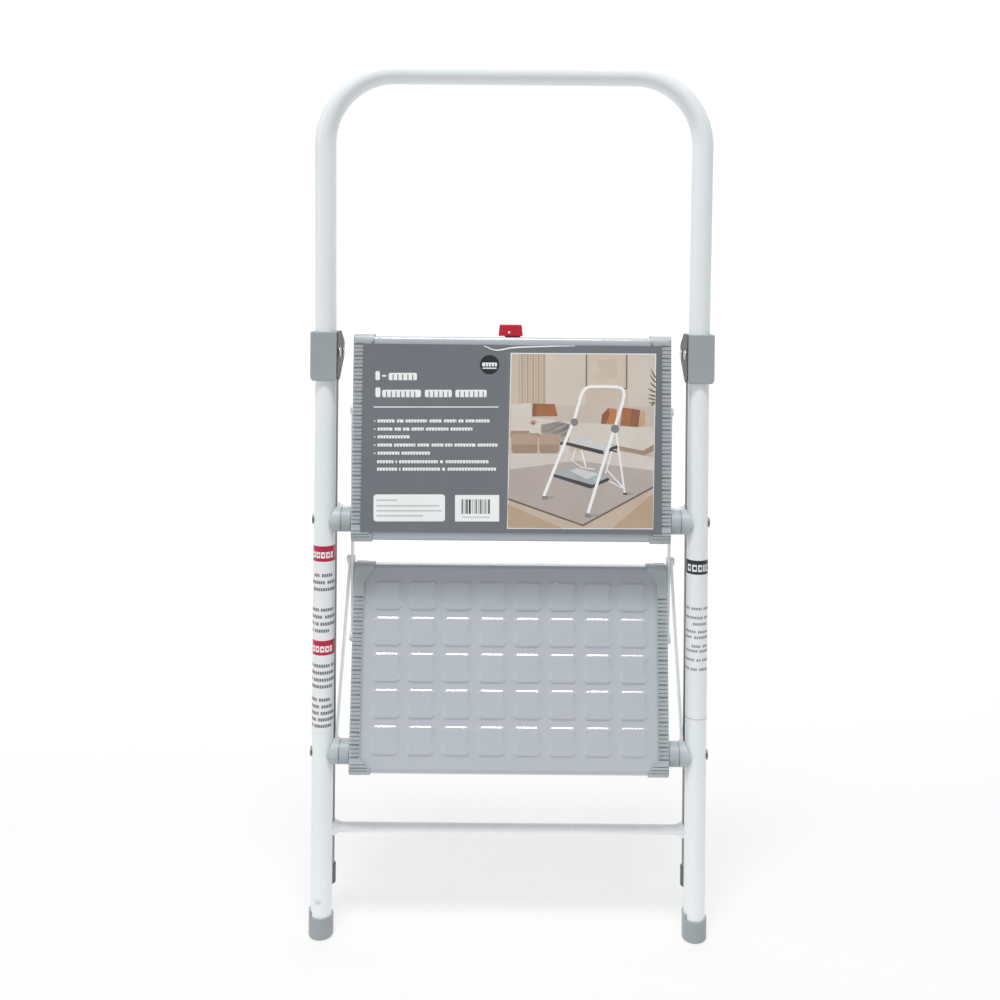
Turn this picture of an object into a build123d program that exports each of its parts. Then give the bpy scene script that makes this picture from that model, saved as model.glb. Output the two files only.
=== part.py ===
"""Folding two-step stool, stored folded and upright.

Row frame, millimetres: +Z up, +X to the right of the stool seen from its front, +Y to the back.
The front frame is one tube bent to an upside-down U. Both steps hinge on its legs, the rear frame hinges in two
plastic brackets, and flat link bars and struts tie steps and rear frame together so that they fold as one.
"""

import math
import os

from build123d import *

# ---------------------------------------------------------------- driving dimensions (mm)
HEIGHT = 882.0            # feet to handle top, folded
LEG_X = 189.25            # front leg axis from the middle
TUBE_R = 10.75            # front tube
TUBE_T = 1.2              # tube walls
HANDLE_R = 70.0           # centreline radius of the handle bends
HANDLE_LEAN = 3.4         # degrees the handle leans forward above the brackets
BEND_Z = 590.0            # height of that slight bend
BEND_LEN = 30.0           # length it is spread over
Y_SHIFT = -4.4            # puts the origin in the middle of the depth

REAR_X = 188.5            # rear leg axis from the middle
REAR_R = 8.0
REAR_Y = 27.0             # rear leg axis behind the front leg axis, folded
REAR_PIVOT_Z = 590.0
REAR_FOOT_Z = 37.3        # where the rear leg's axis meets the floor plane of its foot
CROSS_R = 6.0
UPPER_CROSS_DROP = 166.4  # below the rear pivot
UPPER_CROSS_BACK = 3.0    # behind the rear leg axis
LOWER_CROSS_Z = 95.7

LEAN_FRONT = 23.7         # degrees the front legs lean when the stool stands open
LEAN_REAR = 17.9          # degrees the rear legs lean when it stands open

UPPER_PIVOT_Z = 421.5
LOWER_PIVOT_Z = 186.2
UPPER_TILT = 3.0          # degrees each step leans back from the legs when folded
LOWER_TILT = 8.0
BARREL_R = 12.25
BARREL_IN = 161.0
BARREL_OUT = 184.5
SADDLE_TIP = 183.4        # point of the saddle end
BOLT_R = 4.0
RUN = 0.06                # radial running clearance

CAP_X0 = 149.7            # inner edge of an end cap
CAP_X1 = 160.7            # outer face of an end cap
WING_X = 140.1            # inner ends of the caps' corner wings
PAN_X = 157.7             # side flange of the pressed tread
PAN_T = 1.2
PAN_FRONT = -19.5
PAN_REAR = 186.0
PAN_TOP = 12.6
PAD_H = 1.2               # height of the pressed squares
PAD_X = 29.6
PAD_U = 27.6
PAD_COLS = [-125.09, -89.35, -53.61, -17.87, 17.87, 53.61, 89.35, 125.09]
PAD_ROWS = [14.0, 49.4, 84.7, 120.0, 155.4]

LINK_U1, LINK_V1 = 110.0, -8.2      # link pivot on the upper step
LINK_U2, LINK_V2 = 112.0, -9.083    # link pivot on the lower step
LINK_X0, LINK_X1 = 162.0, 164.5
LINK_W = 9.0
STRUT_T = 2.5
STRUT_X = 165.0           # inner face of the strut at the link bar
STRUT_X_REAR = 177.7      # inner face of the strut at the rear leg
STRUT_FROM_A1 = 155.073   # strut pivot below the link bar's upper pivot
STRUT_REAR_DROP = 405.0   # strut pivot on the rear leg below the rear pivot
RIVET_R = 2.5
LOWER_RIVET_R = 1.9       # where it passes the link bar's lower eye, which has play
LINK_EYE = 6.2

LATCH_U, LATCH_V = 160.0, 3.0       # latch pin, in the upper step
BAR_U, BAR_V = 146.5, -14.0         # where the upper crossbar lands under the upper step

os.makedirs("parts", exist_ok=True)
nodes = {}


# ---------------------------------------------------------------- helpers
def cyl_x(r, x0, x1, y, z):
    c = Cylinder(r, abs(x1 - x0), rotation=(0, 90, 0))
    return c.moved(Location(((x0 + x1) / 2, y, z)))


def box(x0, x1, y0, y1, z0, z1):
    return Box(x1 - x0, y1 - y0, z1 - z0).moved(
        Location(((x0 + x1) / 2, (y0 + y1) / 2, (z0 + z1) / 2))
    )


def prism_x(points, x0, x1, fillets=None):
    """A polygon in (y, z) stretched along x. fillets: vertex index to radius."""
    pts = []
    n = len(points)
    edges = []
    cuts = []
    for i in range(n):
        p = Vector(0, *points[i])
        a = Vector(0, *points[i - 1])
        b = Vector(0, *points[(i + 1) % n])
        r = (fillets or {}).get(i, 0.0)
        if r <= 0:
            cuts.append((p, p, None))
            continue
        da, db = (a - p).normalized(), (b - p).normalized()
        ang = math.acos(max(-1, min(1, da.dot(db))))
        d = r / math.tan(ang / 2)
        s, e = p + da * d, p + db * d
        bis = (da + db).normalized()
        c = p + bis * (r / math.sin(ang / 2))
        m = c - bis * r
        cuts.append((s, e, m))
    for i in range(n):
        s, e, m = cuts[i]
        if m is not None:
            edges.append(ThreePointArc(s, m, e))
        nxt = cuts[(i + 1) % n][0]
        if (nxt - e).length > 1e-6:
            edges.append(Line(e, nxt))
    f = Face(Wire(edges))
    if f.normal_at().X < 0:
        f = -f
    f = f.moved(Location((x0, 0, 0)))
    return Solid.extrude(f, Vector(x1 - x0, 0, 0))


def prism_z(points, z0, z1):
    f = Face(Wire.make_polygon([Vector(x, y, z0) for x, y in points], close=True))
    return Solid.extrude(f, Vector(0, 0, z1 - z0))


def mirrored(s):
    return s.mirror(Plane.YZ)


def row(s):
    return s.moved(Location((0, Y_SHIFT, 0)))


def on_step(s, tilt, pivot_z):
    """From a step's own frame (x, u to its rear edge, v up from its tread) to the folded pose."""
    return s.rotate(Axis.X, 90 - tilt).moved(Location((0, Y_SHIFT, pivot_z)))


def step_point(tilt, pivot_z, u, v):
    p = math.radians(tilt)
    return (
        u * math.sin(p) - v * math.cos(p),
        pivot_z + u * math.cos(p) + v * math.sin(p),
    )


def solids_of(s):
    return s.solids() if hasattr(s, "solids") else [s]


def put(name, *shapes):
    parts = []
    for s in shapes:
        parts += list(solids_of(s))
    nodes[name] = parts[0] if len(parts) == 1 else Compound(children=parts)
    nodes[name].label = name
    export_step(nodes[name], f"parts/{name}.step")


def rivet(x_in, x_out, y, z, r, head_r=4.5, head_t=1.5, in_head=True, out_head=True):
    """A rivet along x: shank from x_in to x_out, a domed head past each end."""
    s = cyl_x(r, x_in, x_out, y, z)
    def dome(x, sign):
        h = cyl_x(head_r, x, x + sign * head_t, y, z)
        es = [e for e in h.edges() if abs(e.center().X - (x + sign * head_t)) < 1e-3]
        return h.fillet(min(head_t * 0.8, head_r * 0.6), es)
    if out_head:
        s = s + dome(x_out, 1)
    if in_head:
        s = s + dome(x_in, -1)
    return s


# ---------------------------------------------------------------- front frame tube
def handle_path(z0):
    """Centreline of the right half from the leg's end to the middle of the handle, as edges."""
    lean = math.radians(HANDLE_LEAN)
    half = BEND_LEN / 2
    x = LEG_X
    a = Vector(x, 0, z0)
    b = Vector(x, 0, BEND_Z - half)
    up = Vector(0, -math.sin(lean), math.cos(lean))
    corner = Vector(x, 0, BEND_Z)
    c = corner + up * half
    rad = half / math.tan(lean / 2)
    centre = Vector(x, -rad, BEND_Z - half)
    mid = centre + Vector(0, math.cos(lean / 2) * rad, math.sin(lean / 2) * rad)
    top_z = HEIGHT - TUBE_R
    run = (top_z - BEND_Z) / math.cos(lean)
    d = corner + up * (run - HANDLE_R)
    apex_c = d - Vector(HANDLE_R, 0, 0)
    s45 = math.sqrt(0.5) * HANDLE_R
    m2 = apex_c + Vector(s45, 0, 0) + up * s45
    e = apex_c + up * HANDLE_R
    f = Vector(0, e.Y, e.Z)
    return [Line(a, b), ThreePointArc(b, mid, c), Line(c, d), ThreePointArc(d, m2, e), Line(e, f)]


def front_tube(r, z0):
    right = handle_path(z0)
    left = [e.mirror(Plane.YZ) for e in right]
    whole = Wire(right + left)
    start = Plane(origin=(LEG_X, 0, z0), z_dir=(0, 0, 1))
    prof = start * Circle(r)
    return sweep(prof, path=whole, transition=Transition.ROUND).solids()[0]


TUBE_END = 14.0
tube_outer = front_tube(TUBE_R, TUBE_END)
tube_inner = front_tube(TUBE_R - TUBE_T, TUBE_END)
frame_tube = tube_outer - tube_inner
for sx in (1, -1):
    for z in (UPPER_PIVOT_Z, LOWER_PIVOT_Z):
        frame_tube = frame_tube - cyl_x(BOLT_R, sx * (LEG_X - 20), sx * (LEG_X + 20), 0, z)
    frame_tube = frame_tube - cyl_x(3.0, sx * (LEG_X - 20), sx * (LEG_X + 20), 0, BEND_Z + 1.5)
put("front_frame_tube", row(frame_tube))

# ---------------------------------------------------------------- front feet
FOOT_R = 12.4
FOOT_TOP = 22.0
SOLE_FROM = 6.0           # the slanted sole starts this far in front of the leg's axis


def foot(cx, cy, r_out, r_in, z_front, top, floor, lean, tab_side, tab=5.0, level_toe=False):
    """Cup on a tube's end; the sole is cut to lie flat when the leg leans by `lean` degrees (positive: back).

    level_toe: the toe stays square to the leg, at height 0, and only the rest of the sole is slanted.
    """
    deep = top if level_toe else 80
    blank = Cylinder(r_out, deep).moved(Location((cx, cy, top - deep / 2)))
    if level_toe:
        blank = blank.fillet(2.4, [e for e in blank.edges() if abs(e.center().Z) < 1e-3 and e.geom_type == GeomType.CIRCLE])
    es = [e for e in blank.edges() if abs(e.center().Z - top) < 1e-3 and e.geom_type == GeomType.CIRCLE]
    blank = blank.fillet(0.8, es)
    t = math.tan(math.radians(lean))
    # sole plane through the lowest rim point
    big = Box(200, 200, 200).moved(Location((0, 0, -100)))
    big = big.rotate(Axis.X, lean).moved(Location((cx, cy, z_front)))
    s = blank - big
    sole = [f for f in s.faces() if f.geom_type == GeomType.PLANE and f.center().Z < z_front + 3 and f.normal_at().Z < -0.5]
    if not level_toe:
        s = s.fillet(2.2, sole[0].edges())
    s = s - Cylinder(r_in, 200).moved(Location((cx, cy, floor + 100)))
    tb = box(cx - 4.5, cx + 4.5, cy - r_out - 5, cy, top - 3, top + tab)
    ring = (Cylinder(r_out, 40) - Cylinder(r_in, 40)).moved(Location((cx, cy, top)))
    tb = box(cx + (tab_side * r_out if tab_side > 0 else -r_out - 1), cx + (r_out + 1 if tab_side > 0 else -r_out * 0.55),
             cy - 6, cy + 6, top - 3, top + tab) if tab_side == 0 else (
        box(cx + r_out * 0.5, cx + r_out + 1, cy - 7, cy + 7, top - 3, top + tab) if tab_side > 0 else
        box(cx - r_out - 1, cx - r_out * 0.5, cy - 7, cy + 7, top - 3, top + tab))
    s = s + (tb & ring)
    return s


# the slanted sole's plane meets the leg's axis at this height
FOOT_AXIS_Z = SOLE_FROM * math.tan(math.radians(LEAN_FRONT))
fr = foot(LEG_X, 0, FOOT_R, TUBE_R, FOOT_AXIS_Z, FOOT_TOP, TUBE_END, LEAN_FRONT, -1, level_toe=True)
fl = foot(-LEG_X, 0, FOOT_R, TUBE_R, FOOT_AXIS_Z, FOOT_TOP, TUBE_END, LEAN_FRONT, -1, level_toe=True)
put("front_foot_right", row(fr))
put("front_foot_left", row(fl))

# ---------------------------------------------------------------- pivot brackets
BR_IN, BR_OUT = 175.6, 203.0
br_pts = [(-13.4, 563.0), (-13.4, 612.5), (14.0, 612.5), (36.4, 600.0), (36.4, 586.0), (5.0, 563.0)]
br = prism_x(br_pts, BR_IN, BR_OUT, {0: 1.6, 1: 1.2, 2: 6.0, 3: 9.0, 4: 9.0, 5: 9.0})
br_edges = [e for e in br.edges() if abs(e.center().X - BR_OUT) < 1e-3 or abs(e.center().X - BR_IN) < 1e-3]
br = br.fillet(0.9, br_edges)
br = br - tube_outer
# clevis slot for the rear leg, open to the back and below
br = br - box(REAR_X - REAR_R - 0.5, REAR_X + REAR_R + 0.5, 12.8, 60, 500, 600.5)
# lower corners of the front face, cut off at a slant
for x0, sx in ((BR_OUT, 1), (BR_IN, -1)):
    br = br - Solid.extrude(Face(Wire.make_polygon([Vector(x0 - sx * 3.4, -30, 562), Vector(x0 + sx * 1, -30, 562),
                                                    Vector(x0 + sx * 1, -30, 567.6)], close=True)), Vector(0, 24, 0))
br = br - cyl_x(3.0, 160, 215, 0, BEND_Z + 1.5) - cyl_x(3.5, 160, 215, REAR_Y, REAR_PIVOT_Z)
br = sorted(br.solids(), key=lambda s: s.volume)[-1]
put("pivot_bracket_right", row(br))
put("pivot_bracket_left", row(mirrored(br)))

fix = rivet(BR_IN, BR_OUT, 0, BEND_Z + 1.5, 3.0, 5.2, 1.3)
put("bracket_rivets", row(fix), row(mirrored(fix)))
piv = rivet(BR_IN, BR_OUT, REAR_Y, REAR_PIVOT_Z, 3.5, 5.6, 1.3)
put("rear_pivot_rivets", row(piv), row(mirrored(piv)))

# ---------------------------------------------------------------- step pivot spacers and bolts
def spacer(z):
    s = cyl_x(BARREL_R, BARREL_IN, BARREL_OUT, 0, z)
    es = [e for e in s.edges() if abs(e.center().X - BARREL_IN) < 1e-3]
    s = s.fillet(1.0, es)
    groove = cyl_x(BARREL_R + 1, 170.9, 171.9, 0, z) - cyl_x(BARREL_R - 0.7, 170, 173, 0, z)
    s = s - groove
    # the saddle end runs out in a point on the tube's front and back
    for up in (1, -1):
        s = s - Solid.extrude(Face(Wire.make_polygon([Vector(SADDLE_TIP, -30, z), Vector(200, -30, z), Vector(200, -30, z + up * 30),
                                                      Vector(SADDLE_TIP - 13.0, -30, z + up * 30)], close=True)), Vector(0, 60, 0))
    s = s - tube_outer - cyl_x(BOLT_R, 150, 210, 0, z)
    return sorted(s.solids(), key=lambda q: q.volume)[-1]


for nm, z in (("upper", UPPER_PIVOT_Z), ("lower", LOWER_PIVOT_Z)):
    sp = spacer(z)
    put(f"{nm}_spacer_right", row(sp))
    put(f"{nm}_spacer_left", row(mirrored(sp)))

PAN_IN = PAN_X - PAN_T
bolts = []
for z in (UPPER_PIVOT_Z, LOWER_PIVOT_Z):
    b = rivet(PAN_IN - 0.3, LEG_X + TUBE_R + 0.1, 0, z, BOLT_R, 4.9, 1.3)
    b = b + (cyl_x(4.9, LEG_X + 5, LEG_X + TUBE_R + 0.2, 0, z) - tube_outer)
    bolts += [row(b), row(mirrored(b))]
put("step_pivot_rivets", *bolts)

# ---------------------------------------------------------------- leg labels
def label(x, z0, z1):
    ring = (Cylinder(TUBE_R + 0.15, z1 - z0) - Cylinder(TUBE_R, z1 - z0)).moved(Location((x, 0, (z0 + z1) / 2)))
    return ring & box(x - 20, x + 20, -20, 1.5, z0 - 1, z1 + 1)


put("leg_label_left", row(label(-LEG_X, 208.0, 398.5)))
put("leg_label_right", row(label(LEG_X, 223.0, 385.0)))

# ---------------------------------------------------------------- rear frame
leg_top = REAR_PIVOT_Z + REAR_R
REAR_END = 46.8
leg_o = Cylinder(REAR_R, leg_top - REAR_END).moved(Location((REAR_X, REAR_Y, (leg_top + REAR_END) / 2)))
leg_i = Cylinder(REAR_R - TUBE_T, leg_top - REAR_END + 2).moved(Location((REAR_X, REAR_Y, (leg_top + REAR_END) / 2)))
crown = cyl_x(REAR_R, REAR_X - 20, REAR_X + 20, REAR_Y, REAR_PIVOT_Z) + box(
    REAR_X - 20, REAR_X + 20, REAR_Y - 20, REAR_Y + 20, 0, REAR_PIVOT_Z)
leg = ((leg_o - leg_i) & crown) - cyl_x(3.5 + RUN, 160, 215, REAR_Y, REAR_PIVOT_Z)
leg = sorted(leg.solids(), key=lambda s: s.volume)[-1]
put("rear_leg_right", row(leg))
put("rear_leg_left", row(mirrored(leg)))


def crossbar(y, z, r):
    bar = cyl_x(r, -REAR_X, REAR_X, y, z) - cyl_x(r - TUBE_T, -REAR_X - 1, REAR_X + 1, y, z)
    bar = bar - leg_o - mirrored(leg_o)
    return sorted(bar.solids(), key=lambda s: s.volume)[-1]


put("upper_crossbar", row(crossbar(REAR_Y + UPPER_CROSS_BACK, REAR_PIVOT_Z - UPPER_CROSS_DROP, CROSS_R)))
put("lower_crossbar", row(crossbar(REAR_Y, LOWER_CROSS_Z, 5.2)))

RFOOT_R = 9.5
rf = foot(REAR_X, REAR_Y, RFOOT_R, REAR_R, REAR_FOOT_Z, 54.5, REAR_END, -LEAN_REAR, -1, tab=3.0)
put("rear_foot_right", row(rf))
put("rear_foot_left", row(mirrored(rf)))

# ---------------------------------------------------------------- steps, in their own frame
def pan_outer(x_half, grow=0.0):
    pts = [(PAN_FRONT - grow, -12.0), (PAN_FRONT - grow, PAN_TOP + grow), (PAN_REAR + grow, PAN_TOP + grow),
           (PAN_REAR + grow, -8.0), (128.0, -12.0)]
    return prism_x(pts, -x_half, x_half, {1: 8.0, 2: 4.0})


def pads(h, sx, su, z0):
    out = []
    with BuildSketch(Plane.XY.offset(z0)) as sk:
        RectangleRounded(sx, su, 4.0)
    one = extrude(sk.sketch, amount=h, taper=35)
    for x in PAD_COLS:
        for u in PAD_ROWS:
            out.append(one.moved(Location((x, u, 0))))
    return out


def tread(latch_notch, link_u, link_v, bar_saddle):
    outer = pan_outer(PAN_X)
    ip = [(PAN_FRONT + PAN_T, -20.0), (PAN_FRONT + PAN_T, PAN_TOP - PAN_T), (PAN_REAR - PAN_T, PAN_TOP - PAN_T),
          (PAN_REAR - PAN_T, -20.0)]
    inner = prism_x(ip, -PAN_IN, PAN_IN, {1: 8.0 - PAN_T, 2: 4.0 - PAN_T})
    s = outer - inner
    # return lips under the front and rear flanges
    s = s + box(-142, 142, PAN_FRONT + 0.2, PAN_FRONT + 7, -12.0, -10.8)
    s = s + box(-142, -16, PAN_REAR - 7, PAN_REAR - 0.2, -8.6, -7.4) + box(16, 142, PAN_REAR - 7, PAN_REAR - 0.2, -8.6, -7.4)
    s = s + pads(PAD_H, PAD_X, PAD_U, PAN_TOP)
    s = s - pads(PAD_H, PAD_X - 1.4, PAD_U - 1.4, PAN_TOP - PAN_T)
    for sx in (1, -1):
        s = s - cyl_x(BOLT_R + RUN, sx * 140, sx * 170, 0, 0)
        s = s - cyl_x(RIVET_R, sx * 140, sx * 170, link_u, link_v)
    if latch_notch:
        s = s - box(-13.5, 13.5, PAN_REAR - 9, PAN_REAR + 5, -20, 8.4)
    if bar_saddle:
        s = s - saddle()
    return sorted(s.solids(), key=lambda q: q.volume)[-1]


def saddle():
    """Room for the upper crossbar under the upper step, slanted the way the bar arrives."""
    a = cyl_x(CROSS_R + 0.35, -175, 175, BAR_U, BAR_V)
    b = prism_x([(BAR_U + 6.35, BAR_V), (BAR_U - 4.9, BAR_V + 4.1), (BAR_U - 16, BAR_V - 14), (BAR_U + 6.35, BAR_V - 14)],
                -175, 175)
    return a + b


CAP_PTS = [(-21.0, -14.0), (-21.0, 14.5), (188.0, 14.5), (188.0, -9.6), (126.0, -14.0)]


def end_cap(link_u, link_v, bar_saddle, smooth_from):
    s = prism_x(CAP_PTS, CAP_X0, CAP_X1, {0: 8.0, 1: 9.0, 2: 6.0, 3: 4.0, 4: 20.0})
    es = [e for e in s.edges() if abs(e.center().X - CAP_X1) < 1e-3]
    s = s.fillet(1.6, es)
    # corner wings along the front and rear edges
    wing = prism_x(CAP_PTS, WING_X, CAP_X0 + 0.2, {0: 8.0, 1: 9.0, 2: 6.0, 3: 4.0, 4: 20.0})
    rear = prism_z([(CAP_X0 + 0.2, 168.5), (CAP_X0 + 0.2, 190), (WING_X, 190), (WING_X, 182.4)], -2.0, 20)
    front = prism_z([(CAP_X0 + 0.2, -2.5), (CAP_X0 + 0.2, -24), (WING_X, -24), (WING_X, -12.6)], -2.0, 20)
    s = s + (wing & rear) + (wing & front)
    s = s - pan_outer(PAN_X)
    s = s - box(133, CAP_X0 - 4, -30, 200, -20, -11.0)
    s = s - pads_hole()
    # ribs across the top lip
    cuts = []
    u = -2.0
    i = 0
    while u < smooth_from:
        deep = 1.2 if i % 3 == 0 else 0.6
        wide = 1.8 if i % 3 == 0 else 1.0
        cuts.append(box(CAP_X0 + 1.0, CAP_X1 + 1, u - wide / 2, u + wide / 2, 14.5 - deep, 20))
        u += 4.0
        i += 1
    for u in (-9.0, -12.2, -15.0):
        cuts.append(box(WING_X + 1.4, CAP_X1 + 1, u - 0.6, u + 0.6, 13.6, 20))
    s = s - cuts
    s = s - cyl_x(BOLT_R + RUN, 140, 170, 0, 0) - cyl_x(RIVET_R, 140, 170, link_u, link_v)
    s = s - cyl_x(5.0, 140, PAN_X, link_u, link_v)
    if bar_saddle:
        s = s - saddle()
    return sorted(s.solids(), key=lambda q: q.volume)[-1]


def pads_hole():
    return box(100, CAP_X0 - 14, -30, 200, -30, 30)


upper_tread = tread(True, LINK_U1, LINK_V1, True)
lower_tread = tread(False, LINK_U2, LINK_V2, False)
put("upper_tread", on_step(upper_tread, UPPER_TILT, UPPER_PIVOT_Z))
put("lower_tread", on_step(lower_tread, LOWER_TILT, LOWER_PIVOT_Z))
upper_cap = end_cap(LINK_U1, LINK_V1, True, 180.0)
lower_cap = end_cap(LINK_U2, LINK_V2, False, 158.0)
for nm, cap, tilt, pz in (("upper", upper_cap, UPPER_TILT, UPPER_PIVOT_Z), ("lower", lower_cap, LOWER_TILT, LOWER_PIVOT_Z)):
    put(f"{nm}_end_cap_right", on_step(cap, tilt, pz))
    put(f"{nm}_end_cap_left", on_step(mirrored(cap), tilt, pz))

CARD_V = 14.5             # it lies across the flat tops of the end caps
card = box(-151.0, 151.0, -10.0, 180.8, CARD_V, CARD_V + 0.5)
put("printed_card", on_step(card, UPPER_TILT, UPPER_PIVOT_Z))

# rivets that carry the link bars: head inside the tread, shoulder outside the cap, head outside the bar
def link_rivet(u, v, r_bar, head):
    s = cyl_x(RIVET_R, PAN_IN, LINK_X0 - 0.2, u, v) + cyl_x(r_bar, LINK_X0 - 0.4, LINK_X1 + 0.2, u, v)
    s = s + cyl_x(head, CAP_X1, LINK_X0 - 0.2, u, v)
    s = s + rivet(PAN_IN, PAN_IN + 0.5, u, v, RIVET_R, 4.5, 1.4, True, False)
    s = s + rivet(LINK_X1 + 0.1, LINK_X1 + 0.2, u, v, r_bar, head, 1.4, False, True)
    return s


for nm, u, v, tilt, pz, r_bar, head in (("upper", LINK_U1, LINK_V1, UPPER_TILT, UPPER_PIVOT_Z, RIVET_R, 4.3),
                                        ("lower", LINK_U2, LINK_V2, LOWER_TILT, LOWER_PIVOT_Z, LOWER_RIVET_R, 6.0)):
    r = link_rivet(u, v, r_bar, head)
    put(f"{nm}_link_rivets", on_step(r, tilt, pz), on_step(mirrored(r), tilt, pz))

# ---------------------------------------------------------------- latch on the upper step
HOOK_OUT, HOOK_IN = 10.0, 6.6
hook = cyl_x(HOOK_OUT, -8, 8, BAR_U, BAR_V) - cyl_x(HOOK_IN, -9, 9, BAR_U, BAR_V)
hook = hook & prism_x([(BAR_U - 3, BAR_V - 14), (BAR_U + 14, BAR_V - 14), (BAR_U + 14, BAR_V + 9), (BAR_U + 4.5, BAR_V + 9),
                       (BAR_U + 1.5, BAR_V + 0), (BAR_U - 3, BAR_V - 5)], -9, 9)
arm = prism_x([(LATCH_U - 5, LATCH_V), (LATCH_U + 3, LATCH_V - 4), (BAR_U + 9.6, BAR_V + 1.0), (BAR_U + 6.75, BAR_V + 1.0), (BAR_U + 5.2, BAR_V + 5.2)], -8, 8)
boss = cyl_x(5.0, -8, 8, LATCH_U, LATCH_V)
beam = prism_x([(LATCH_U, LATCH_V + 4.6), (LATCH_U, LATCH_V - 4.6), (PAN_REAR - 2, -5.6), (192.5, -5.6), (192.5, -1.6), (PAN_REAR - 3, -1.2)], -8, 8)
tab_pts = [(-14.4, 187.2), (10.4, 187.2), (9.2, 198.9), (-13.2, 198.9)]
tab = prism_z(tab_pts, -5.6, 9.5)
es = [e for e in tab.edges() if abs(e.center().Y - 198.9) < 1e-3]
tab = tab.fillet(1.2, es)
vert = [e for e in tab.edges() if abs(e.center().Z - 9.5) < 1e-3]
tab = tab.fillet(0.8, vert)
lever = (boss + arm + hook + beam + tab) - cyl_x(2.05, -20, 20, LATCH_U, LATCH_V)
lever = lever - cyl_x(HOOK_IN, -9, 9, BAR_U, BAR_V)
lever = sorted(lever.solids(), key=lambda q: q.volume)[-1]
put("latch_lever", on_step(lever, UPPER_TILT, UPPER_PIVOT_Z))

cheek = prism_x([(LATCH_U - 6, 10.4), (LATCH_U - 6, LATCH_V - 3), (LATCH_U - 3, LATCH_V - 5.5), (LATCH_U + 3, LATCH_V - 5.5),
                 (LATCH_U + 6, LATCH_V - 3), (LATCH_U + 6, 10.4)], 10.7, 12.2, {1: 2.0, 2: 1.0, 3: 1.0, 4: 2.0})
bracket = cheek + mirrored(cheek) + box(-12.2, 12.2, LATCH_U - 6, LATCH_U + 6, 10.0, PAN_TOP - PAN_T)
bracket = bracket - cyl_x(2.0, -20, 20, LATCH_U, LATCH_V)
put("latch_bracket", on_step(bracket, UPPER_TILT, UPPER_PIVOT_Z))
pin = rivet(-12.2, 12.2, LATCH_U, LATCH_V, 2.0, 3.2, 1.0)
put("latch_pin", on_step(pin, UPPER_TILT, UPPER_PIVOT_Z))

coil_r, wire_r = 3.15, 0.42
helix = Helix(pitch=0.95, height=1.425, radius=coil_r, center=(8.65, LATCH_U, LATCH_V), direction=(1, 0, 0))
coil = sweep(Plane(origin=helix @ 0, z_dir=helix % 0) * Circle(wire_r), path=helix, is_frenet=True)
put("latch_spring", on_step(coil, UPPER_TILT, UPPER_PIVOT_Z))

# ---------------------------------------------------------------- link bars and struts
def flat_bar(p, q, x0, x1, w, holes, eye):
    """A round-ended bar between two points in (y, z), with an eye round the second and (y, z, r) holes."""
    py, pz = p
    qy, qz = q
    length = math.hypot(qy - py, qz - pz)
    ang = math.degrees(math.atan2(qz - pz, qy - py))
    body = box(x0, x1, 0, length, -w / 2, w / 2) + cyl_x(w / 2, x0, x1, 0, 0) + cyl_x(eye, x0, x1, length, 0)
    body = body.rotate(Axis.X, ang).moved(Location((0, py, pz)))
    for y, z, r in holes:
        body = body - cyl_x(r, x0 - 5, x1 + 5, y, z)
    return body


A1 = step_point(UPPER_TILT, UPPER_PIVOT_Z, LINK_U1, LINK_V1)
A2 = step_point(LOWER_TILT, LOWER_PIVOT_Z, LINK_U2, LINK_V2)
LINK_LEN = math.hypot(A1[0] - A2[0], A1[1] - A2[1])
J = tuple(A1[i] + (A2[i] - A1[i]) * STRUT_FROM_A1 / LINK_LEN for i in (0, 1))
R = (REAR_Y, REAR_PIVOT_Z - STRUT_REAR_DROP)
link = flat_bar(A1, A2, LINK_X0, LINK_X1, LINK_W, [(*A1, RIVET_R + RUN), (*A2, LOWER_RIVET_R + 2.4), (*J, RIVET_R)], LINK_EYE)
put("link_bar_right", row(link))
put("link_bar_left", row(mirrored(link)))
jr = cyl_x(RIVET_R, LINK_X0, STRUT_X + STRUT_T + 0.2, *J)
jr = jr + rivet(LINK_X0, LINK_X0 + 0.5, *J, RIVET_R, 4.3, 1.4, True, False)
jr = jr + rivet(STRUT_X + STRUT_T, STRUT_X + STRUT_T + 0.2, *J, RIVET_R, 4.3, 1.4, False, True)
put("strut_front_rivet_right", row(jr))
put("strut_front_rivet_left", row(mirrored(jr)))

STRUT_LEN = math.hypot(J[0] - R[0], J[1] - R[1])
STRUT_ANG = math.degrees(math.atan2(R[1] - J[1], R[0] - J[0]))
w = LINK_W
prof = [(STRUT_X, -w), (STRUT_X, 9.0), (STRUT_X_REAR, STRUT_LEN - 9.0), (STRUT_X_REAR, STRUT_LEN + w),
        (STRUT_X_REAR + STRUT_T, STRUT_LEN + w), (STRUT_X_REAR + STRUT_T, STRUT_LEN - 9.0), (STRUT_X + STRUT_T, 9.0), (STRUT_X + STRUT_T, -w)]
strut = prism_z(prof, -w / 2, w / 2)
outline = box(150, 190, 0, STRUT_LEN, -w / 2, w / 2) + cyl_x(w / 2, 150, 190, 0, 0) + cyl_x(w / 2, 150, 190, STRUT_LEN, 0)
strut = strut & outline
strut = strut - cyl_x(RIVET_R + RUN, 150, 190, 0, 0) - cyl_x(RIVET_R, 150, 190, STRUT_LEN, 0)
strut = strut.rotate(Axis.X, STRUT_ANG).moved(Location((0, *J)))
put("strut_right", row(strut))
put("strut_left", row(mirrored(strut)))
rr = rivet(STRUT_X_REAR, REAR_X - REAR_R - 0.12, *R, RIVET_R, 4.3, 1.4, True, False)
put("strut_rear_rivet_right", row(rr))
put("strut_rear_rivet_left", row(mirrored(rr)))

print("link", A1, A2, "J", J, "R", R, "strut", STRUT_LEN, STRUT_ANG)
print(len(nodes), "nodes")
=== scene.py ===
import math

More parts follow.
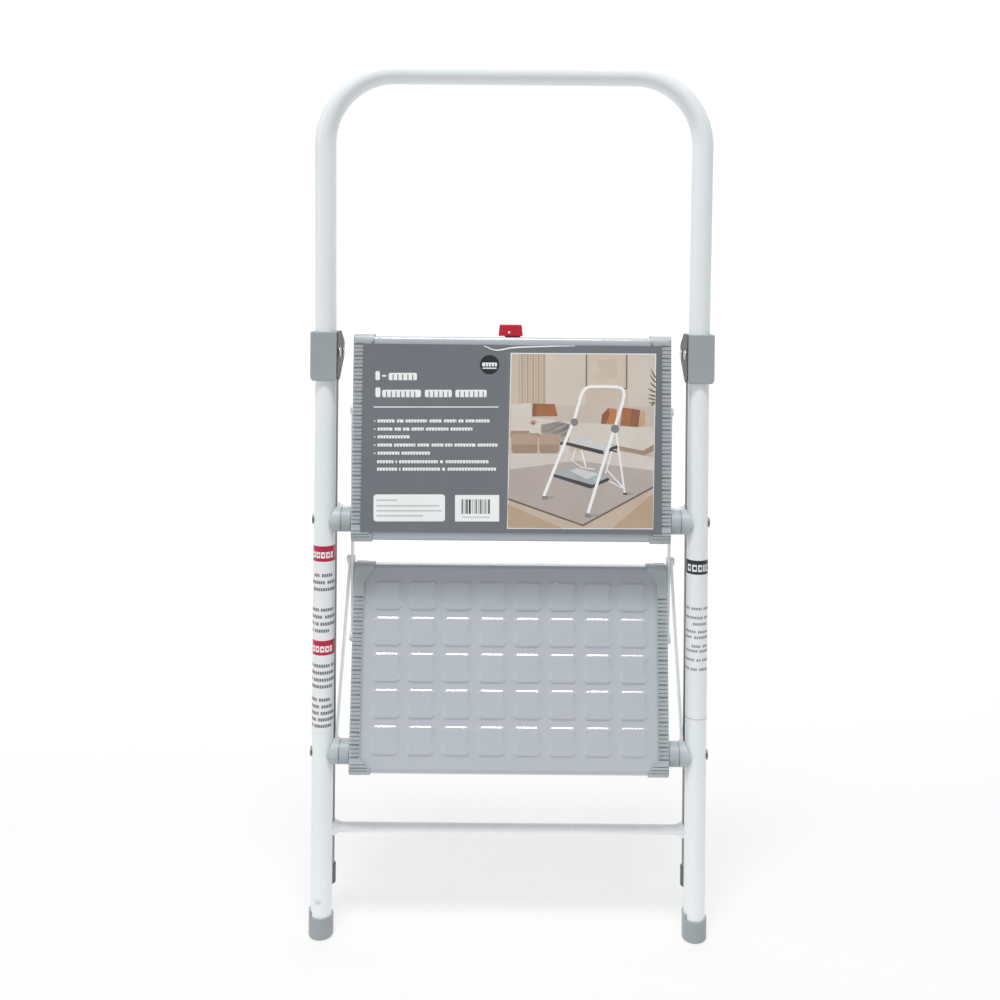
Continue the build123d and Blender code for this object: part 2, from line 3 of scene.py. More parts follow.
import bmesh
import bpy
from mathutils import Matrix, Vector


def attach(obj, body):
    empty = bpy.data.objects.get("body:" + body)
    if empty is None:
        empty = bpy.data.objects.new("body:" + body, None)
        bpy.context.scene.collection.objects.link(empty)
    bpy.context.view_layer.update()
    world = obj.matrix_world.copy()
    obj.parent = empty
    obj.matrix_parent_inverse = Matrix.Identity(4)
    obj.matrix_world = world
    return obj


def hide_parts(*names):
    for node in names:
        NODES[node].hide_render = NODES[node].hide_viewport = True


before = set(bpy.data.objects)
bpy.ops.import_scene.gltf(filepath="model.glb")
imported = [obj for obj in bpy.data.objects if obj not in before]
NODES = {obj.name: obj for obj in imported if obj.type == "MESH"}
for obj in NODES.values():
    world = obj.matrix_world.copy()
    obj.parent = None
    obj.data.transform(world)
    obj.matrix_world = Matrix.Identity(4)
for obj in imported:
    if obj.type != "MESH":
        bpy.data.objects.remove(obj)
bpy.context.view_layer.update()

D = bpy.data
ROLL = 0.50                            # degrees of camera roll
CX, CY = 513.2, 270.4                  # where the camera's axis meets the frame, in thousandths of its width
FOCAL = 1105.5                         # in the same units
bpy.context.scene.view_settings.view_transform = "Standard"
# light levels
SIDE, TOP, FRONT = 0.47, 0.31, 0.16
KEY, FILL = 146, 9
GLOW_NEAR, GLOW_FAR = 0.68, 0.90


# ------------------------------------------------------------------ camera
def make_camera():
    cam_d = D.cameras.new("camera")
    cam = D.objects.new("camera", cam_d)
    bpy.context.scene.collection.objects.link(cam)
    mm_px = 1.0202e-3              # at the plane of the front legs
    dist = 1100 * mm_px
    cam.location = (0.0, -0.0044 - dist, 0.6756)
    cam.rotation_euler = (math.radians(90), math.radians(-ROLL), 0)
    cam_d.sensor_width = 36
    cam_d.lens = 36 * FOCAL / 1000
    cam_d.shift_x = (500 - CX) / 1000
    cam_d.shift_y = (CY - 500) / 1000
    cam_d.clip_start = 0.05
    cam_d.clip_end = 60
    bpy.context.scene.camera = cam
    return cam


make_camera()


# ------------------------------------------------------------------ node helpers
class Mat:
    def __init__(self, name):
        self.m = D.materials.new(name)
        self.m.use_nodes = True
        self.t = self.m.node_tree
        self.bsdf = next(n for n in self.t.nodes if n.type == "BSDF_PRINCIPLED")
        self.out = next(n for n in self.t.nodes if n.type == "OUTPUT_MATERIAL")
        self.co = self.t.nodes.new("ShaderNodeTexCoord").outputs["Object"]

    def n(self, kind, **kw):
        nd = self.t.nodes.new(kind)
        for k, v in kw.items():
            if k in nd.inputs:
                nd.inputs[k].default_value = v
            else:
                setattr(nd, k, v)
        return nd

    def link(self, a, b):
        self.t.links.new(a, b)

    def noise(self, scale, detail=3.0, rough=0.5, co=None, seed=0.0):
        nd = self.t.nodes.new("ShaderNodeTexNoise")
        nd.noise_dimensions = "4D"
        nd.inputs["W"].default_value = seed
        nd.inputs["Scale"].default_value = scale
        nd.inputs["Detail"].default_value = detail
        nd.inputs["Roughness"].default_value = rough
        self.link(co or self.co, nd.inputs["Vector"])
        return nd.outputs["Fac"]

    def scaled(self, v, co=None):
        nd = self.t.nodes.new("ShaderNodeMapping")
        nd.inputs["Scale"].default_value = v
        self.link(co or self.co, nd.inputs["Vector"])
        return nd.outputs["Vector"]

    def ramp(self, fac, stops):
        nd = self.t.nodes.new("ShaderNodeValToRGB")
        cr = nd.color_ramp
        while len(cr.elements) < len(stops):
            cr.elements.new(0.5)
        for e, (p, c) in zip(cr.elements, stops):
            e.position = p
            e.color = c if len(c) == 4 else (*c, 1)
        self.link(fac, nd.inputs["Fac"])
        return nd.outputs["Color"]

    def remap(self, fac, a, b, c, d):
        nd = self.t.nodes.new("ShaderNodeMapRange")
        nd.inputs["From Min"].default_value = a
        nd.inputs["From Max"].default_value = b
        nd.inputs["To Min"].default_value = c
        nd.inputs["To Max"].default_value = d
        self.link(fac, nd.inputs["Value"])
        return nd.outputs["Result"]

    def mix(self, fac, a, b, blend="MIX"):
        nd = self.t.nodes.new("ShaderNodeMix")
        nd.data_type = "RGBA"
        nd.blend_type = blend
        for s, v in ((nd.inputs[0], fac), (nd.inputs[6], a), (nd.inputs[7], b)):
            if hasattr(v, "links"):
                self.link(v, s)
            elif isinstance(v, (int, float)):
                s.default_value = v
            else:
                s.default_value = v if len(v) == 4 else (*v, 1)
        return nd.outputs[2]

    def math(self, op, a, b=None, clamp=False):
        nd = self.t.nodes.new("ShaderNodeMath")
        nd.operation = op
        nd.use_clamp = clamp
        for i, v in enumerate((a, b)):
            if v is None:
                continue
            if hasattr(v, "links"):
                self.link(v, nd.inputs[i])
            else:
                nd.inputs[i].default_value = v
        return nd.outputs[0]

    def bump(self, height, strength, dist, prev=None):
        nd = self.t.nodes.new("ShaderNodeBump")
        nd.inputs["Strength"].default_value = strength
        nd.inputs["Distance"].default_value = dist
        self.link(height, nd.inputs["Height"])
        if prev is not None:
            self.link(prev, nd.inputs["Normal"])
        return nd.outputs["Normal"]

    def pointy(self, lo, hi):
        g = self.t.nodes.new("ShaderNodeNewGeometry")
        return self.remap(g.outputs["Pointiness"], lo, hi, 0, 1)


def srgb(r, g, b):
    f = lambda c: (c / 255 / 12.92) if c / 255 <= 0.04045 else ((c / 255 + 0.055) / 1.055) ** 2.4
    return (f(r), f(g), f(b))



def spot(m, at, radius, soft=0.4):
    """1 inside a ball round a point (m), fading to 0 at its edge."""
    nd = m.t.nodes.new("ShaderNodeVectorMath")
    nd.operation = "DISTANCE"
    m.link(m.co, nd.inputs[0])
    nd.inputs[1].default_value = at
    return m.remap(nd.outputs["Value"], radius, radius * soft, 0.0, 1.0)


def powder(name, base, dark, rough=0.30, peel=0.10, spots=(), coat=0.0):
    """Powder coat: orange-peel bump, faint mottling, a little grime, rubbed patches."""
    m = Mat(name)
    big = m.noise(9, 2, 0.5, seed=1)
    mid = m.noise(90, 3, 0.6, seed=2)
    col = m.mix(m.remap(big, 0.35, 0.7, 0.0, 0.45), base, dark)
    col = m.mix(m.remap(mid, 0.62, 0.8, 0.0, 0.25), col, dark)
    # dust caught in hollows and faint fingermarks
    col = m.mix(m.math("MULTIPLY", m.remap(m.noise(420, 4, 0.7, seed=12), 0.66, 0.80, 0.0, 1.0), 0.16), col, tuple(c * 0.72 for c in dark))
    wear = None
    for at, radius in spots:
        sp = m.math("MULTIPLY", spot(m, at, radius, 0.25), m.remap(m.noise(900, 4, 0.7, seed=13), 0.42, 0.56, 0.0, 1.0), True)
        col = m.mix(m.math("MULTIPLY", sp, 0.65), col, srgb(150, 152, 154))
        wear = sp
    m.link(col, m.bsdf.inputs["Base Color"])
    ro = m.remap(mid, 0.3, 0.7, rough - 0.05, rough + 0.07)
    ro = m.math("ADD", ro, m.remap(m.noise(22, 3, 0.6, seed=14), 0.45, 0.75, 0.0, 0.07))
    if wear is not None:
        ro = m.math("ADD", ro, m.math("MULTIPLY", wear, 0.25))
    m.link(ro, m.bsdf.inputs["Roughness"])
    peel_n = m.noise(1100, 2, 0.5, seed=3)
    fine = m.noise(3800, 2, 0.5, seed=4)
    b = m.bump(peel_n, peel, 0.0004)
    b = m.bump(fine, peel * 0.5, 0.0001, b)
    b = m.bump(m.noise(34, 2, 0.5, seed=15), 0.05, 0.0008, b)
    m.link(b, m.bsdf.inputs["Normal"])
    m.bsdf.inputs["Specular IOR Level"].default_value = 0.5
    m.bsdf.inputs["Coat Weight"].default_value = coat
    m.bsdf.inputs["Coat Roughness"].default_value = 0.10
    return m


def plastic(name, base, dark, rough=0.42, grain=0.25, scale=2600, edge=0.25):
    """Moulded plastic: fine spark-eroded grain, slight flow marks, rub marks, a painted highlight on the edges and
    painted shade in the hollows.
    """
    m = Mat(name)
    flow = m.noise(10, 4, 0.55, co=m.scaled((1.0, 1.0, 3.2)), seed=5)
    col = m.mix(m.remap(flow, 0.3, 0.7, 0.0, 0.7), base, dark)
    col = m.mix(m.remap(m.noise(260, 3, 0.6, seed=16), 0.6, 0.78, 0.0, 0.25), col, tuple(c * 0.82 for c in dark))
    # painted highlight: paler colour on sharp edges, found by pointiness
    col = m.mix(m.math("MULTIPLY", m.pointy(0.52, 0.60), edge, True), col, tuple(min(1, c * 1.35 + 0.02) for c in base))
    # painted shade: darker colour in hollows and grooves, found by pointiness
    col = m.mix(m.math("MULTIPLY", m.pointy(0.495, 0.44), 0.55, True), col, tuple(c * 0.42 for c in dark))
    m.link(col, m.bsdf.inputs["Base Color"])
    m.link(m.remap(m.noise(160, 3, 0.6, seed=6), 0.3, 0.7, rough - 0.06, rough + 0.08), m.bsdf.inputs["Roughness"])
    b = m.bump(m.noise(scale, 2, 0.6, seed=7), grain, 0.00012)
    b = m.bump(m.noise(60, 2, 0.5, seed=8), 0.05, 0.001, b)
    m.link(b, m.bsdf.inputs["Normal"])
    m.bsdf.inputs["Specular IOR Level"].default_value = 0.42
    return m


def zinc(name, base, rough=0.30):
    """Plated steel: fine spangle, dull oxide in the hollows, turning marks."""
    m = Mat(name)
    spang = m.noise(240, 3, 0.6, seed=9)
    col = m.mix(m.remap(spang, 0.35, 0.7, 0.0, 0.8), base, tuple(c * 0.6 for c in base))
    col = m.mix(m.math("MULTIPLY", m.pointy(0.48, 0.40), 0.6, True), col, tuple(c * 0.25 for c in base))
    m.link(col, m.bsdf.inputs["Base Color"])
    m.bsdf.inputs["Metallic"].default_value = 1.0
    m.link(m.remap(m.noise(700, 3, 0.6, seed=10), 0.3, 0.7, rough - 0.08, rough + 0.12), m.bsdf.inputs["Roughness"])
    m.link(m.bump(m.noise(1500, 2, 0.6, seed=11), 0.15, 0.0001), m.bsdf.inputs["Normal"])
    return m


def film_glare_white(name):
    # painted highlight: near-white colour standing in for the glare on clear film
    m = Mat(name)
    c = m.mix(m.remap(m.noise(300, 3, 0.6, seed=17), 0.3, 0.7, 0, 1), srgb(250, 251, 252), srgb(232, 236, 240))
    m.link(c, m.bsdf.inputs["Base Color"])
    m.link(m.remap(m.noise(200, 3, 0.6, seed=18), 0.3, 0.7, 0.10, 0.24), m.bsdf.inputs["Roughness"])
    return m


SCUFF = (-0.1912, -0.0150, 0.0386)


def paint_inner_shade(m, edge, rgb, amount=1.0):
    """Painted shade: darkens the part of a material that lies nearer the middle of the stool than `edge` (m)."""
    sep = m.t.nodes.new("ShaderNodeSeparateXYZ")
    m.link(m.co, sep.inputs[0])
    inner_shade = m.remap(m.math("ABSOLUTE", sep.outputs["X"]), edge, edge - 0.0004, 0.0, amount)
    old = m.bsdf.inputs["Base Color"].links[0].from_socket
    m.link(m.mix(inner_shade, old, srgb(*rgb)), m.bsdf.inputs["Base Color"])
    return m


M = {
    # painted shade: the inner cheek of the bracket is coloured near-black where it lies in shade
    "bracket": paint_inner_shade(plastic("grey_plastic_bracket_shaded_cheek", srgb(158, 165, 168), srgb(148, 155, 159)), 0.1766, (30, 36, 37)),
    # painted shade: the inner side of the rear legs is coloured dark grey where the front legs shade it
    "white_rear_shaded": paint_inner_shade(powder("white_powder_coat_rear_shaded", srgb(235, 240, 243), srgb(228, 234, 238), coat=0.3), 0.1826, (70, 72, 75), 0.85),
    "white": powder("white_powder_coat", srgb(235, 240, 243), srgb(228, 234, 238), spots=[(SCUFF, 0.0046)], coat=0.3),
    # painted light: a brighter copy of the white powder coat for the crossbars, link bars, struts, their rivets and the
    # welds, which sit in shade
    "white_bar_lit": powder("white_powder_coat_bars_lit", srgb(250, 251, 252), srgb(244, 246, 248), 0.26, 0.08, coat=0.3),
    "tread": powder("tread_powder_coat", srgb(186, 192, 199), srgb(183, 189, 196), 0.18, 0.04, coat=0.6),
    # caps and spacers get a stronger painted edge highlight (edge=0.5)
    "cap": plastic("grey_plastic_cap", srgb(170, 178, 182), srgb(160, 168, 172), edge=0.5),
    "grey": plastic("grey_plastic", srgb(158, 165, 168), srgb(148, 155, 159)),
    # copy of the tread coat for the lower tread, with painted shade along its top (below)
    "tread_low_shaded": powder("tread_powder_coat_lower_shaded", srgb(186, 192, 199), srgb(183, 189, 196), 0.18, 0.04, coat=0.6),
    "dark": plastic("dark_plastic", srgb(92, 96, 99), srgb(80, 84, 87)),
    "red": plastic("red_plastic", srgb(196, 24, 52), srgb(180, 18, 46), 0.30, 0.08),
    "zinc": zinc("zinc_plate", (0.66, 0.66, 0.65)),
    "bolt": zinc("dark_rivet", (0.25, 0.25, 0.25), 0.42),
    "film": film_glare_white("film_glare_white"),
}


def shade_above(m, z0, z1, amount):
    """Painted shade towards the top of a part: from nothing at z0 to `amount` at z1 (m)."""
    sep = m.t.nodes.new("ShaderNodeSeparateXYZ")
    m.link(m.co, sep.inputs[0])
    wav = m.math("ADD", sep.outputs["Z"], m.math("MULTIPLY", m.noise(14, 2, 0.5, seed=50), 0.004))
    f = m.remap(wav, z0, z1, 0.0, amount)
    old = m.bsdf.inputs["Base Color"].links[0].from_socket
    m.link(m.mix(f, old, srgb(96, 103, 111)), m.bsdf.inputs["Base Color"])


# painted shade: darkens the top band of the lower tread, where the upper step shades it
shade_above(M["tread_low_shaded"], 0.318, 0.348, 0.26)


def give(node, mat):
    o = NODES[node]
    o.data.materials.clear()
    o.data.materials.append(mat.m)


for n in NODES:
    if n == "front_frame_tube":
        give(n, M["white"])
    elif n.startswith("rear_leg"):
        give(n, M["white_rear_shaded"])
    elif n.startswith("pivot_bracket"):
        give(n, M["bracket"])
    elif n in ("upper_crossbar", "lower_crossbar", "link_bar_left", "link_bar_right", "strut_left", "strut_right", "lower_link_rivets",
               "upper_link_rivets", "strut_front_rivet_left", "strut_front_rivet_right"):
        give(n, M["white_bar_lit"])
    elif n == "lower_tread":
        give(n, M["tread_low_shaded"])
    elif n.endswith("_tread"):
        give(n, M["tread"])
    elif n.startswith("rear_foot"):
        give(n, M["dark"])
    elif "spacer" in n or "end_cap" in n:
        give(n, M["cap"])
    elif "foot" in n or n.startswith("pivot_bracket") or "spacer" in n or "end_cap" in n:
        give(n, M["grey"])
    elif n == "latch_lever":
        give(n, M["red"])
    elif n == "step_pivot_rivets":
        give(n, M["bolt"])
    else:
        give(n, M["zinc"])


# ------------------------------------------------------------------ floor and light
def floor():
    me = D.meshes.new("floor")
    bm = bmesh.new()
    prof = [(-14.0, 0.0), (5.5, 0.0)]
    for i in range(1, 17):
        a = math.radians(90 * i / 16)
        prof.append((5.5 + 3.0 * math.sin(a), 3.0 - 3.0 * math.cos(a)))
    prof.append((8.5, 16.0))
    rows = []
    for x in (-16.0, 16.0):
        rows.append([bm.verts.new((x, y, z)) for y, z in prof])
    for i in range(len(prof) - 1):
        f = bm.faces.new((rows[0][i], rows[1][i], rows[1][i + 1], rows[0][i + 1]))
        f.smooth = True
    bm.to_mesh(me)
    bm.free()
    o = D.objects.new("floor", me)
    bpy.context.scene.collection.objects.link(o)
    m = Mat("studio_floor")
    c = m.mix(m.remap(m.noise(0.9, 2, 0.5, seed=30), 0.3, 0.7, 0, 1), (0.24, 0.24, 0.24), (0.235, 0.235, 0.235))
    m.link(c, m.bsdf.inputs["Base Color"])
    m.bsdf.inputs["Roughness"].default_value = 0.9
    m.bsdf.inputs["Emission Color"].default_value = (1, 1, 1, 1)
    # the floor glows as well as reflecting: painted light, stronger towards the back and weaker towards the front
    sep = m.t.nodes.new("ShaderNodeSeparateXYZ")
    m.link(m.co, sep.inputs[0])
    far = m.remap(sep.outputs["Y"], 0.2, 2.4, 0.0, 1.0)
    front = m.remap(sep.outputs["Y"], -1.0, -0.15, 0.40, 1.0)
    m.link(m.math("MULTIPLY", m.remap(far, 0.0, 1.0, GLOW_NEAR, GLOW_FAR), front), m.bsdf.inputs["Emission Strength"])
    me.materials.append(m.m)
    return o


floor()


def area(name, loc, aim, size, power, color=(1, 1, 1)):
    l = D.lights.new(name, "AREA")
    l.shape = "RECTANGLE"
    l.size, l.size_y = size
    l.energy = power
    l.color = color
    o = D.objects.new(name, l)
    o.location = loc
    o.rotation_euler = (Vector(aim) - Vector(loc)).to_track_quat("-Z", "Y").to_euler()
    bpy.context.scene.collection.objects.link(o)
    return o


world = D.worlds.new("studio")
bpy.context.scene.world = world
world.use_nodes = True
wt = world.node_tree
bg = wt.nodes["Background"]
gen = wt.nodes.new("ShaderNodeTexCoord").outputs["Generated"]
sep = wt.nodes.new("ShaderNodeSeparateXYZ")
wt.links.new(gen, sep.inputs[0])


def wmap(sock, a, b, c, d):
    nd = wt.nodes.new("ShaderNodeMapRange")
    nd.interpolation_type = "SMOOTHSTEP"
    for k, v in (("From Min", a), ("From Max", b), ("To Min", c), ("To Max", d)):
        nd.inputs[k].default_value = v
    wt.links.new(sock, nd.inputs["Value"])
    return nd.outputs["Result"]


def wadd(a, b):
    nd = wt.nodes.new("ShaderNodeMath")
    nd.operation = "ADD"
    wt.links.new(a, nd.inputs[0])
    wt.links.new(b, nd.inputs[1])
    return nd.outputs[0]


# dim to the sides, brighter overhead and in front
glow = wadd(wmap(sep.outputs["Z"], 0.05, 0.95, SIDE, TOP), wmap(sep.outputs["Y"], -0.2, -1.0, 0.0, FRONT))
wt.links.new(glow, bg.inputs["Strength"])
bg.inputs[0].default_value = (0.985, 0.995, 1.0, 1)
area("key", (-0.20, -1.53, 4.52), (0, 0, 0.40), (1.5, 0.75), KEY, (1.0, 0.995, 0.985))
area("fill", (-2.6, -0.9, 1.0), (0, 0, 0.45), (1.6, 1.6), FILL)


# ------------------------------------------------------------------ pieces made here
Y_SHIFT = -0.0044
UPPER = (math.radians(3.0), 0.4215)
LOWER = (math.radians(8.0), 0.1862)


def step_at(step, x, u, v):
    """A point of a step's own frame (mm) in the row frame (m)."""
    t, pz = step
    return Vector((x / 1000, (u * math.sin(t) - v * math.cos(t)) / 1000 + Y_SHIFT, pz + (u * math.cos(t) + v * math.sin(t)) / 1000))


def piece(name, bm, mats, body, smooth=False, sharp=None):
    bmesh.ops.remove_doubles(bm, verts=bm.verts, dist=1e-7)
    bmesh.ops.recalc_face_normals(bm, faces=bm.faces)
    me = D.meshes.new(name)
    bm.to_mesh(me)
    bm.free()
    for m in mats:
        me.materials.append(m.m)
    for p in me.polygons:
        p.use_smooth = smooth
    if smooth and sharp is not None:
        me.set_sharp_from_angle(angle=math.radians(sharp))
    o = D.objects.new(name, me)
    bpy.context.scene.collection.objects.link(o)
    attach(o, body)
    return o


def smooth01(t):
    t = max(0.0, min(1.0, t))
    return t * t * (3 - 2 * t)


# ---- pressed top of the lower tread: one skin over the pan, raised squares with rolled edges
def round_rect(x, y, hx, hy, r):
    qx, qy = abs(x) - hx + r, abs(y) - hy + r
    return math.hypot(max(qx, 0), max(qy, 0)) + min(max(qx, qy), 0.0) - r


PAD_COLS = [-125.09, -89.35, -53.61, -17.87, 17.87, 53.61, 89.35, 125.09]
PAD_ROWS = [14.0, 49.4, 84.7, 120.0, 155.4]


def pad_height(x, u):
    """Raised square: short rolled flanks front and rear, long soft ones at the sides."""
    for cx in PAD_COLS:
        if abs(x - cx) > 17.0:
            continue
        for cu in PAD_ROWS:
            if abs(u - cu) > 16.0:
                continue
            d = -round_rect(x - cx, u - cu, 15.6, 14.5, 5.5)
            if d <= 0:
                return 0.0
            dx, du = max(0.0, abs(x - cx) - 10.1), max(0.0, abs(u - cu) - 9.0)
            side = dx / (dx + du + 1e-6)
            run = 1.75 + 5.2 * side * side
            crown = 0.10 * smooth01(d / 14.0)
            f = min(1.0, d / run)
            return 1.26 * (0.72 * f + 0.28 * smooth01(f)) + crown
    return 0.0


def lines(centres, half, lo, hi, fine=0.45, band=6.4):
    s = {lo, hi}
    for c in centres:
        k = 0
        while k * fine <= band:
            s.add(round(c - half - 0.3 + k * fine, 3))
            s.add(round(c + half + 0.3 - k * fine, 3))
            k += 1
        s.add(c)
    out = sorted(v for v in s if lo <= v <= hi)
    kept = [out[0]]
    for v in out[1:]:
        if v - kept[-1] > 0.12:
            kept.append(v)
    return kept


def tread_skin():
    off = 0.08
    prof = []                       # (u, v, normal u, normal v, on the flat)
    for v in (-12.0, -6.0, 0.0, 4.6):
        prof.append((-19.5, v, -1, 0, False))
    for i in range(1, 9):
        a = math.radians(180 - 90 * i / 9)
        prof.append((-11.5 + 8 * math.cos(a), 4.6 + 8 * math.sin(a), math.cos(a), math.sin(a), False))
    for u in lines(PAD_ROWS, 14.5, -11.5, 182.0, 0.32, 5.6):
        prof.append((u, 12.6, 0, 1, True))
    for i in range(1, 7):
        a = math.radians(90 - 90 * i / 6)
        prof.append((182 + 4 * math.cos(a), 8.6 + 4 * math.sin(a), math.cos(a), math.sin(a), False))
    prof.append((186.0, 0.0, 1, 0, False))
    prof.append((186.0, -8.0, 1, 0, False))
    xs = lines(PAD_COLS, 15.6, -150.4, 150.4, 0.5, 6.6)
    bm = bmesh.new()
    rows = []
    for x in xs:
        col = []
        for u, v, nu, nv, flat in prof:
            h = off + (pad_height(x, u) if flat else 0.0)
            # the sheet is slightly hollow between its edges
            if flat:
                h -= 0.06 * math.sin(math.pi * (u + 11.5) / 193.5) * math.cos(x / 160 * 1.5)
            col.append(bm.verts.new(step_at(LOWER, x, u + nu * h, v + nv * h)))
        rows.append(col)
    for i in range(len(xs) - 1):
        for j in range(len(prof) - 1):
            bm.faces.new((rows[i][j], rows[i + 1][j], rows[i + 1][j + 1], rows[i][j + 1]))
    o = piece("lower_tread_skin", bm, [M["tread_low_shaded"]], "lower_step", True)
    # the plain squares of the sheet under this skin aren't shown
    sheet = NODES["lower_tread"]
    t, pz = LOWER
    keep = []
    for v in sheet.data.vertices:
        y, z = v.co.y - Y_SHIFT, v.co.z - pz
        if -y * math.cos(t) + z * math.sin(t) < 0.01275:
            keep.append(v.index)
    sheet.vertex_groups.new(name="shown").add(keep, 1.0, "REPLACE")
    sheet.modifiers.new("squares_hidden", "MASK").vertex_group = "shown"
    return o


tread_skin()


# ---- printed card on the upper step
class Sheet:
    """Flat printed art on the upper step: thin closed shapes laid over each other."""

    def __init__(self):
        self.bm = bmesh.new()
        self.mats = []
        self.layer = 0

    def mat(self, m):
        if m not in self.mats:
            self.mats.append(m)
        return self.mats.index(m)

    def shape(self, pts, m, level):
        """pts in layout units; level lifts the shape 0.03 mm for each step."""
        top = 15.0 + 0.03 * level
        k = self.mat(m)
        a = [self.bm.verts.new(step_at(UPPER, *lay(px, py), top)) for px, py in pts]
        b = [self.bm.verts.new(step_at(UPPER, *lay(px, py), 14.9)) for px, py in pts]
        fs = [self.bm.faces.new(a), self.bm.faces.new(list(reversed(b)))]
        n = len(pts)
        for i in range(n):
            fs.append(self.bm.faces.new((a[i], b[i], b[(i + 1) % n], a[(i + 1) % n])))
        for f in fs:
            f.material_index = k

    def rect(self, x0, y0, x1, y1, m, level, r=0.0):
        self.shape(rr(x0, y0, x1, y1, r), m, level)

    def disc(self, cx, cy, rx, m, level, ry=None, n=28):
        ry = ry or rx
        self.shape([(cx + rx * math.cos(2 * math.pi * i / n), cy + ry * math.sin(2 * math.pi * i / n)) for i in range(n)], m, level)

    def line(self, pts, w, m, level):
        self.shape(band(pts, w), m, level)


def lay(px, py):
    """Layout units of the card's art to (x, u) on the upper step, in mm."""
    c, s = math.cos(math.radians(ROLL)), math.sin(math.radians(ROLL))
    dx, dy = px - CX, py - CY
    a, b = dx * c + dy * s, -dx * s + dy * c
    t, u = UPPER[0], 90.0
    for _ in range(4):
        depth = 1122.2 + u * math.sin(t) - 15.0 * math.cos(t)
        z = 675.6 - b * depth / FOCAL
        u = (z - 421.5 - 15.0 * math.sin(t)) / math.cos(t)
    return a * depth / FOCAL, u


def rr(x0, y0, x1, y1, r=0.0, n=5):
    if r <= 0:
        return [(x0, y0), (x1, y0), (x1, y1), (x0, y1)]
    out = []
    for cx, cy, a0 in ((x1 - r, y0 + r, -90), (x1 - r, y1 - r, 0), (x0 + r, y1 - r, 90), (x0 + r, y0 + r, 180)):
        for i in range(n + 1):
            a = math.radians(a0 + 90 * i / n)
            out.append((cx + r * math.cos(a), cy + r * math.sin(a)))
    return out


def band(pts, w):
    left, right = [], []
    n = len(pts)
    for i, (x, y) in enumerate(pts):
        ww = w[i] if isinstance(w, (list, tuple)) else w
        x0, y0 = pts[max(i - 1, 0)]
        x1, y1 = pts[min(i + 1, n - 1)]
        d = math.hypot(x1 - x0, y1 - y0) or 1.0
        nx, ny = -(y1 - y0) / d * ww / 2, (x1 - x0) / d * ww / 2
        left.append((x + nx, y + ny))
        right.append((x - nx, y - ny))
    return left + right[::-1]


def ink(name, rgb, rgb2=None, scale=30.0, rough=0.42, amount=0.8):
    """Printed ink under a thin film: slight density variation and print grain."""
    m = Mat(name)
    a = srgb(*rgb)
    b = srgb(*(rgb2 or tuple(max(0, c - 8) for c in rgb)))
    f = m.remap(m.noise(scale, 3, 0.55, seed=40), 0.3, 0.7, 0.0, amount)
    col = m.mix(f, a, b)
    grain = m.remap(m.noise(2400, 2, 0.6, seed=41), 0.35, 0.7, 0.0, 0.10)
    col = m.mix(grain, col, tuple(c * 0.8 for c in b))
    m.link(col, m.bsdf.inputs["Base Color"])
    m.link(m.remap(m.noise(120, 2, 0.5, seed=42), 0.3, 0.7, rough - 0.06, rough + 0.06), m.bsdf.inputs["Roughness"])
    m.link(m.bump(m.noise(55, 2, 0.5, seed=43), 0.12, 0.0006), m.bsdf.inputs["Normal"])
    m.bsdf.inputs["Specular IOR Level"].default_value = 0.45
    return m


INK = {
    "ground": ink("card_ground", (117, 121, 127), (110, 114, 120), 9),
    "ground_edge": ink("card_edge", (122, 130, 133), (112, 119, 122), 9),
    "white": ink("card_white", (246, 247, 248), (238, 240, 242)),
    "black": ink("card_black", (40, 42, 46), (34, 36, 40)),
    "pale": ink("card_pale_grey", (205, 205, 206), (196, 197, 199)),
    "mid": ink("card_mid_grey", (128, 130, 133), (118, 120, 124)),
    "wall": ink("art_wall", (208, 194, 180), (200, 184, 168), 22),
    "wall_l": ink("art_wall_light", (213, 204, 194), (206, 194, 181), 22),
    "drape": ink("art_drape", (197, 179, 158), (190, 170, 149), 30),
    "drape_d": ink("art_drape_dark", (184, 163, 141), (176, 154, 132), 30),
    "frame": ink("art_frame", (126, 112, 108), (112, 98, 94)),
    "poster": ink("art_poster", (214, 199, 186), (204, 186, 170), 60),
    "sofa": ink("art_sofa", (205, 195, 184), (197, 184, 171), 40),
    "sofa_l": ink("art_sofa_light", (219, 212, 204), (210, 200, 190), 40),
    "sofa_d": ink("art_sofa_shade", (168, 146, 127), (160, 137, 118), 40),
    "orange": ink("art_orange", (172, 114, 80), (158, 100, 68), 60),
    "rust": ink("art_rust", (196, 134, 88), (180, 118, 74), 60),
    "tan": ink("art_tan", (150, 101, 76), (138, 90, 66), 60),
    "pouf": ink("art_pouf", (187, 162, 147), (178, 152, 136), 40),
    "cream": ink("art_cream", (205, 172, 140), (192, 158, 126), 60),
    "rug": ink("art_rug", (186, 176, 170), (178, 167, 161), 35),
    "rug_l": ink("art_rug_light", (216, 207, 202), (206, 197, 191), 35),
    "rug_edge": ink("art_rug_edge", (118, 102, 92), (104, 90, 80)),
    "wood": ink("art_wood", (202, 186, 170), (194, 174, 154), 40),
    "wood_l": ink("art_wood_light", (190, 166, 142), (182, 156, 131), 40),
    "leaf": ink("art_leaf", (112, 108, 86), (94, 90, 70)),
    "flower": ink("art_flower", (188, 132, 112), (172, 114, 94)),
    "shadow": ink("art_shadow", (168, 158, 152), (156, 146, 141)),
    "steel": ink("art_steel", (214, 213, 213), (198, 200, 202), 90),
    "steel_d": ink("art_steel_dark", (176, 184, 186), (160, 168, 170), 90),
    "dark": ink("art_dark", (76, 75, 77), (64, 63, 66)),
    "grey": ink("art_grey", (140, 141, 144), (124, 125, 128)),
}


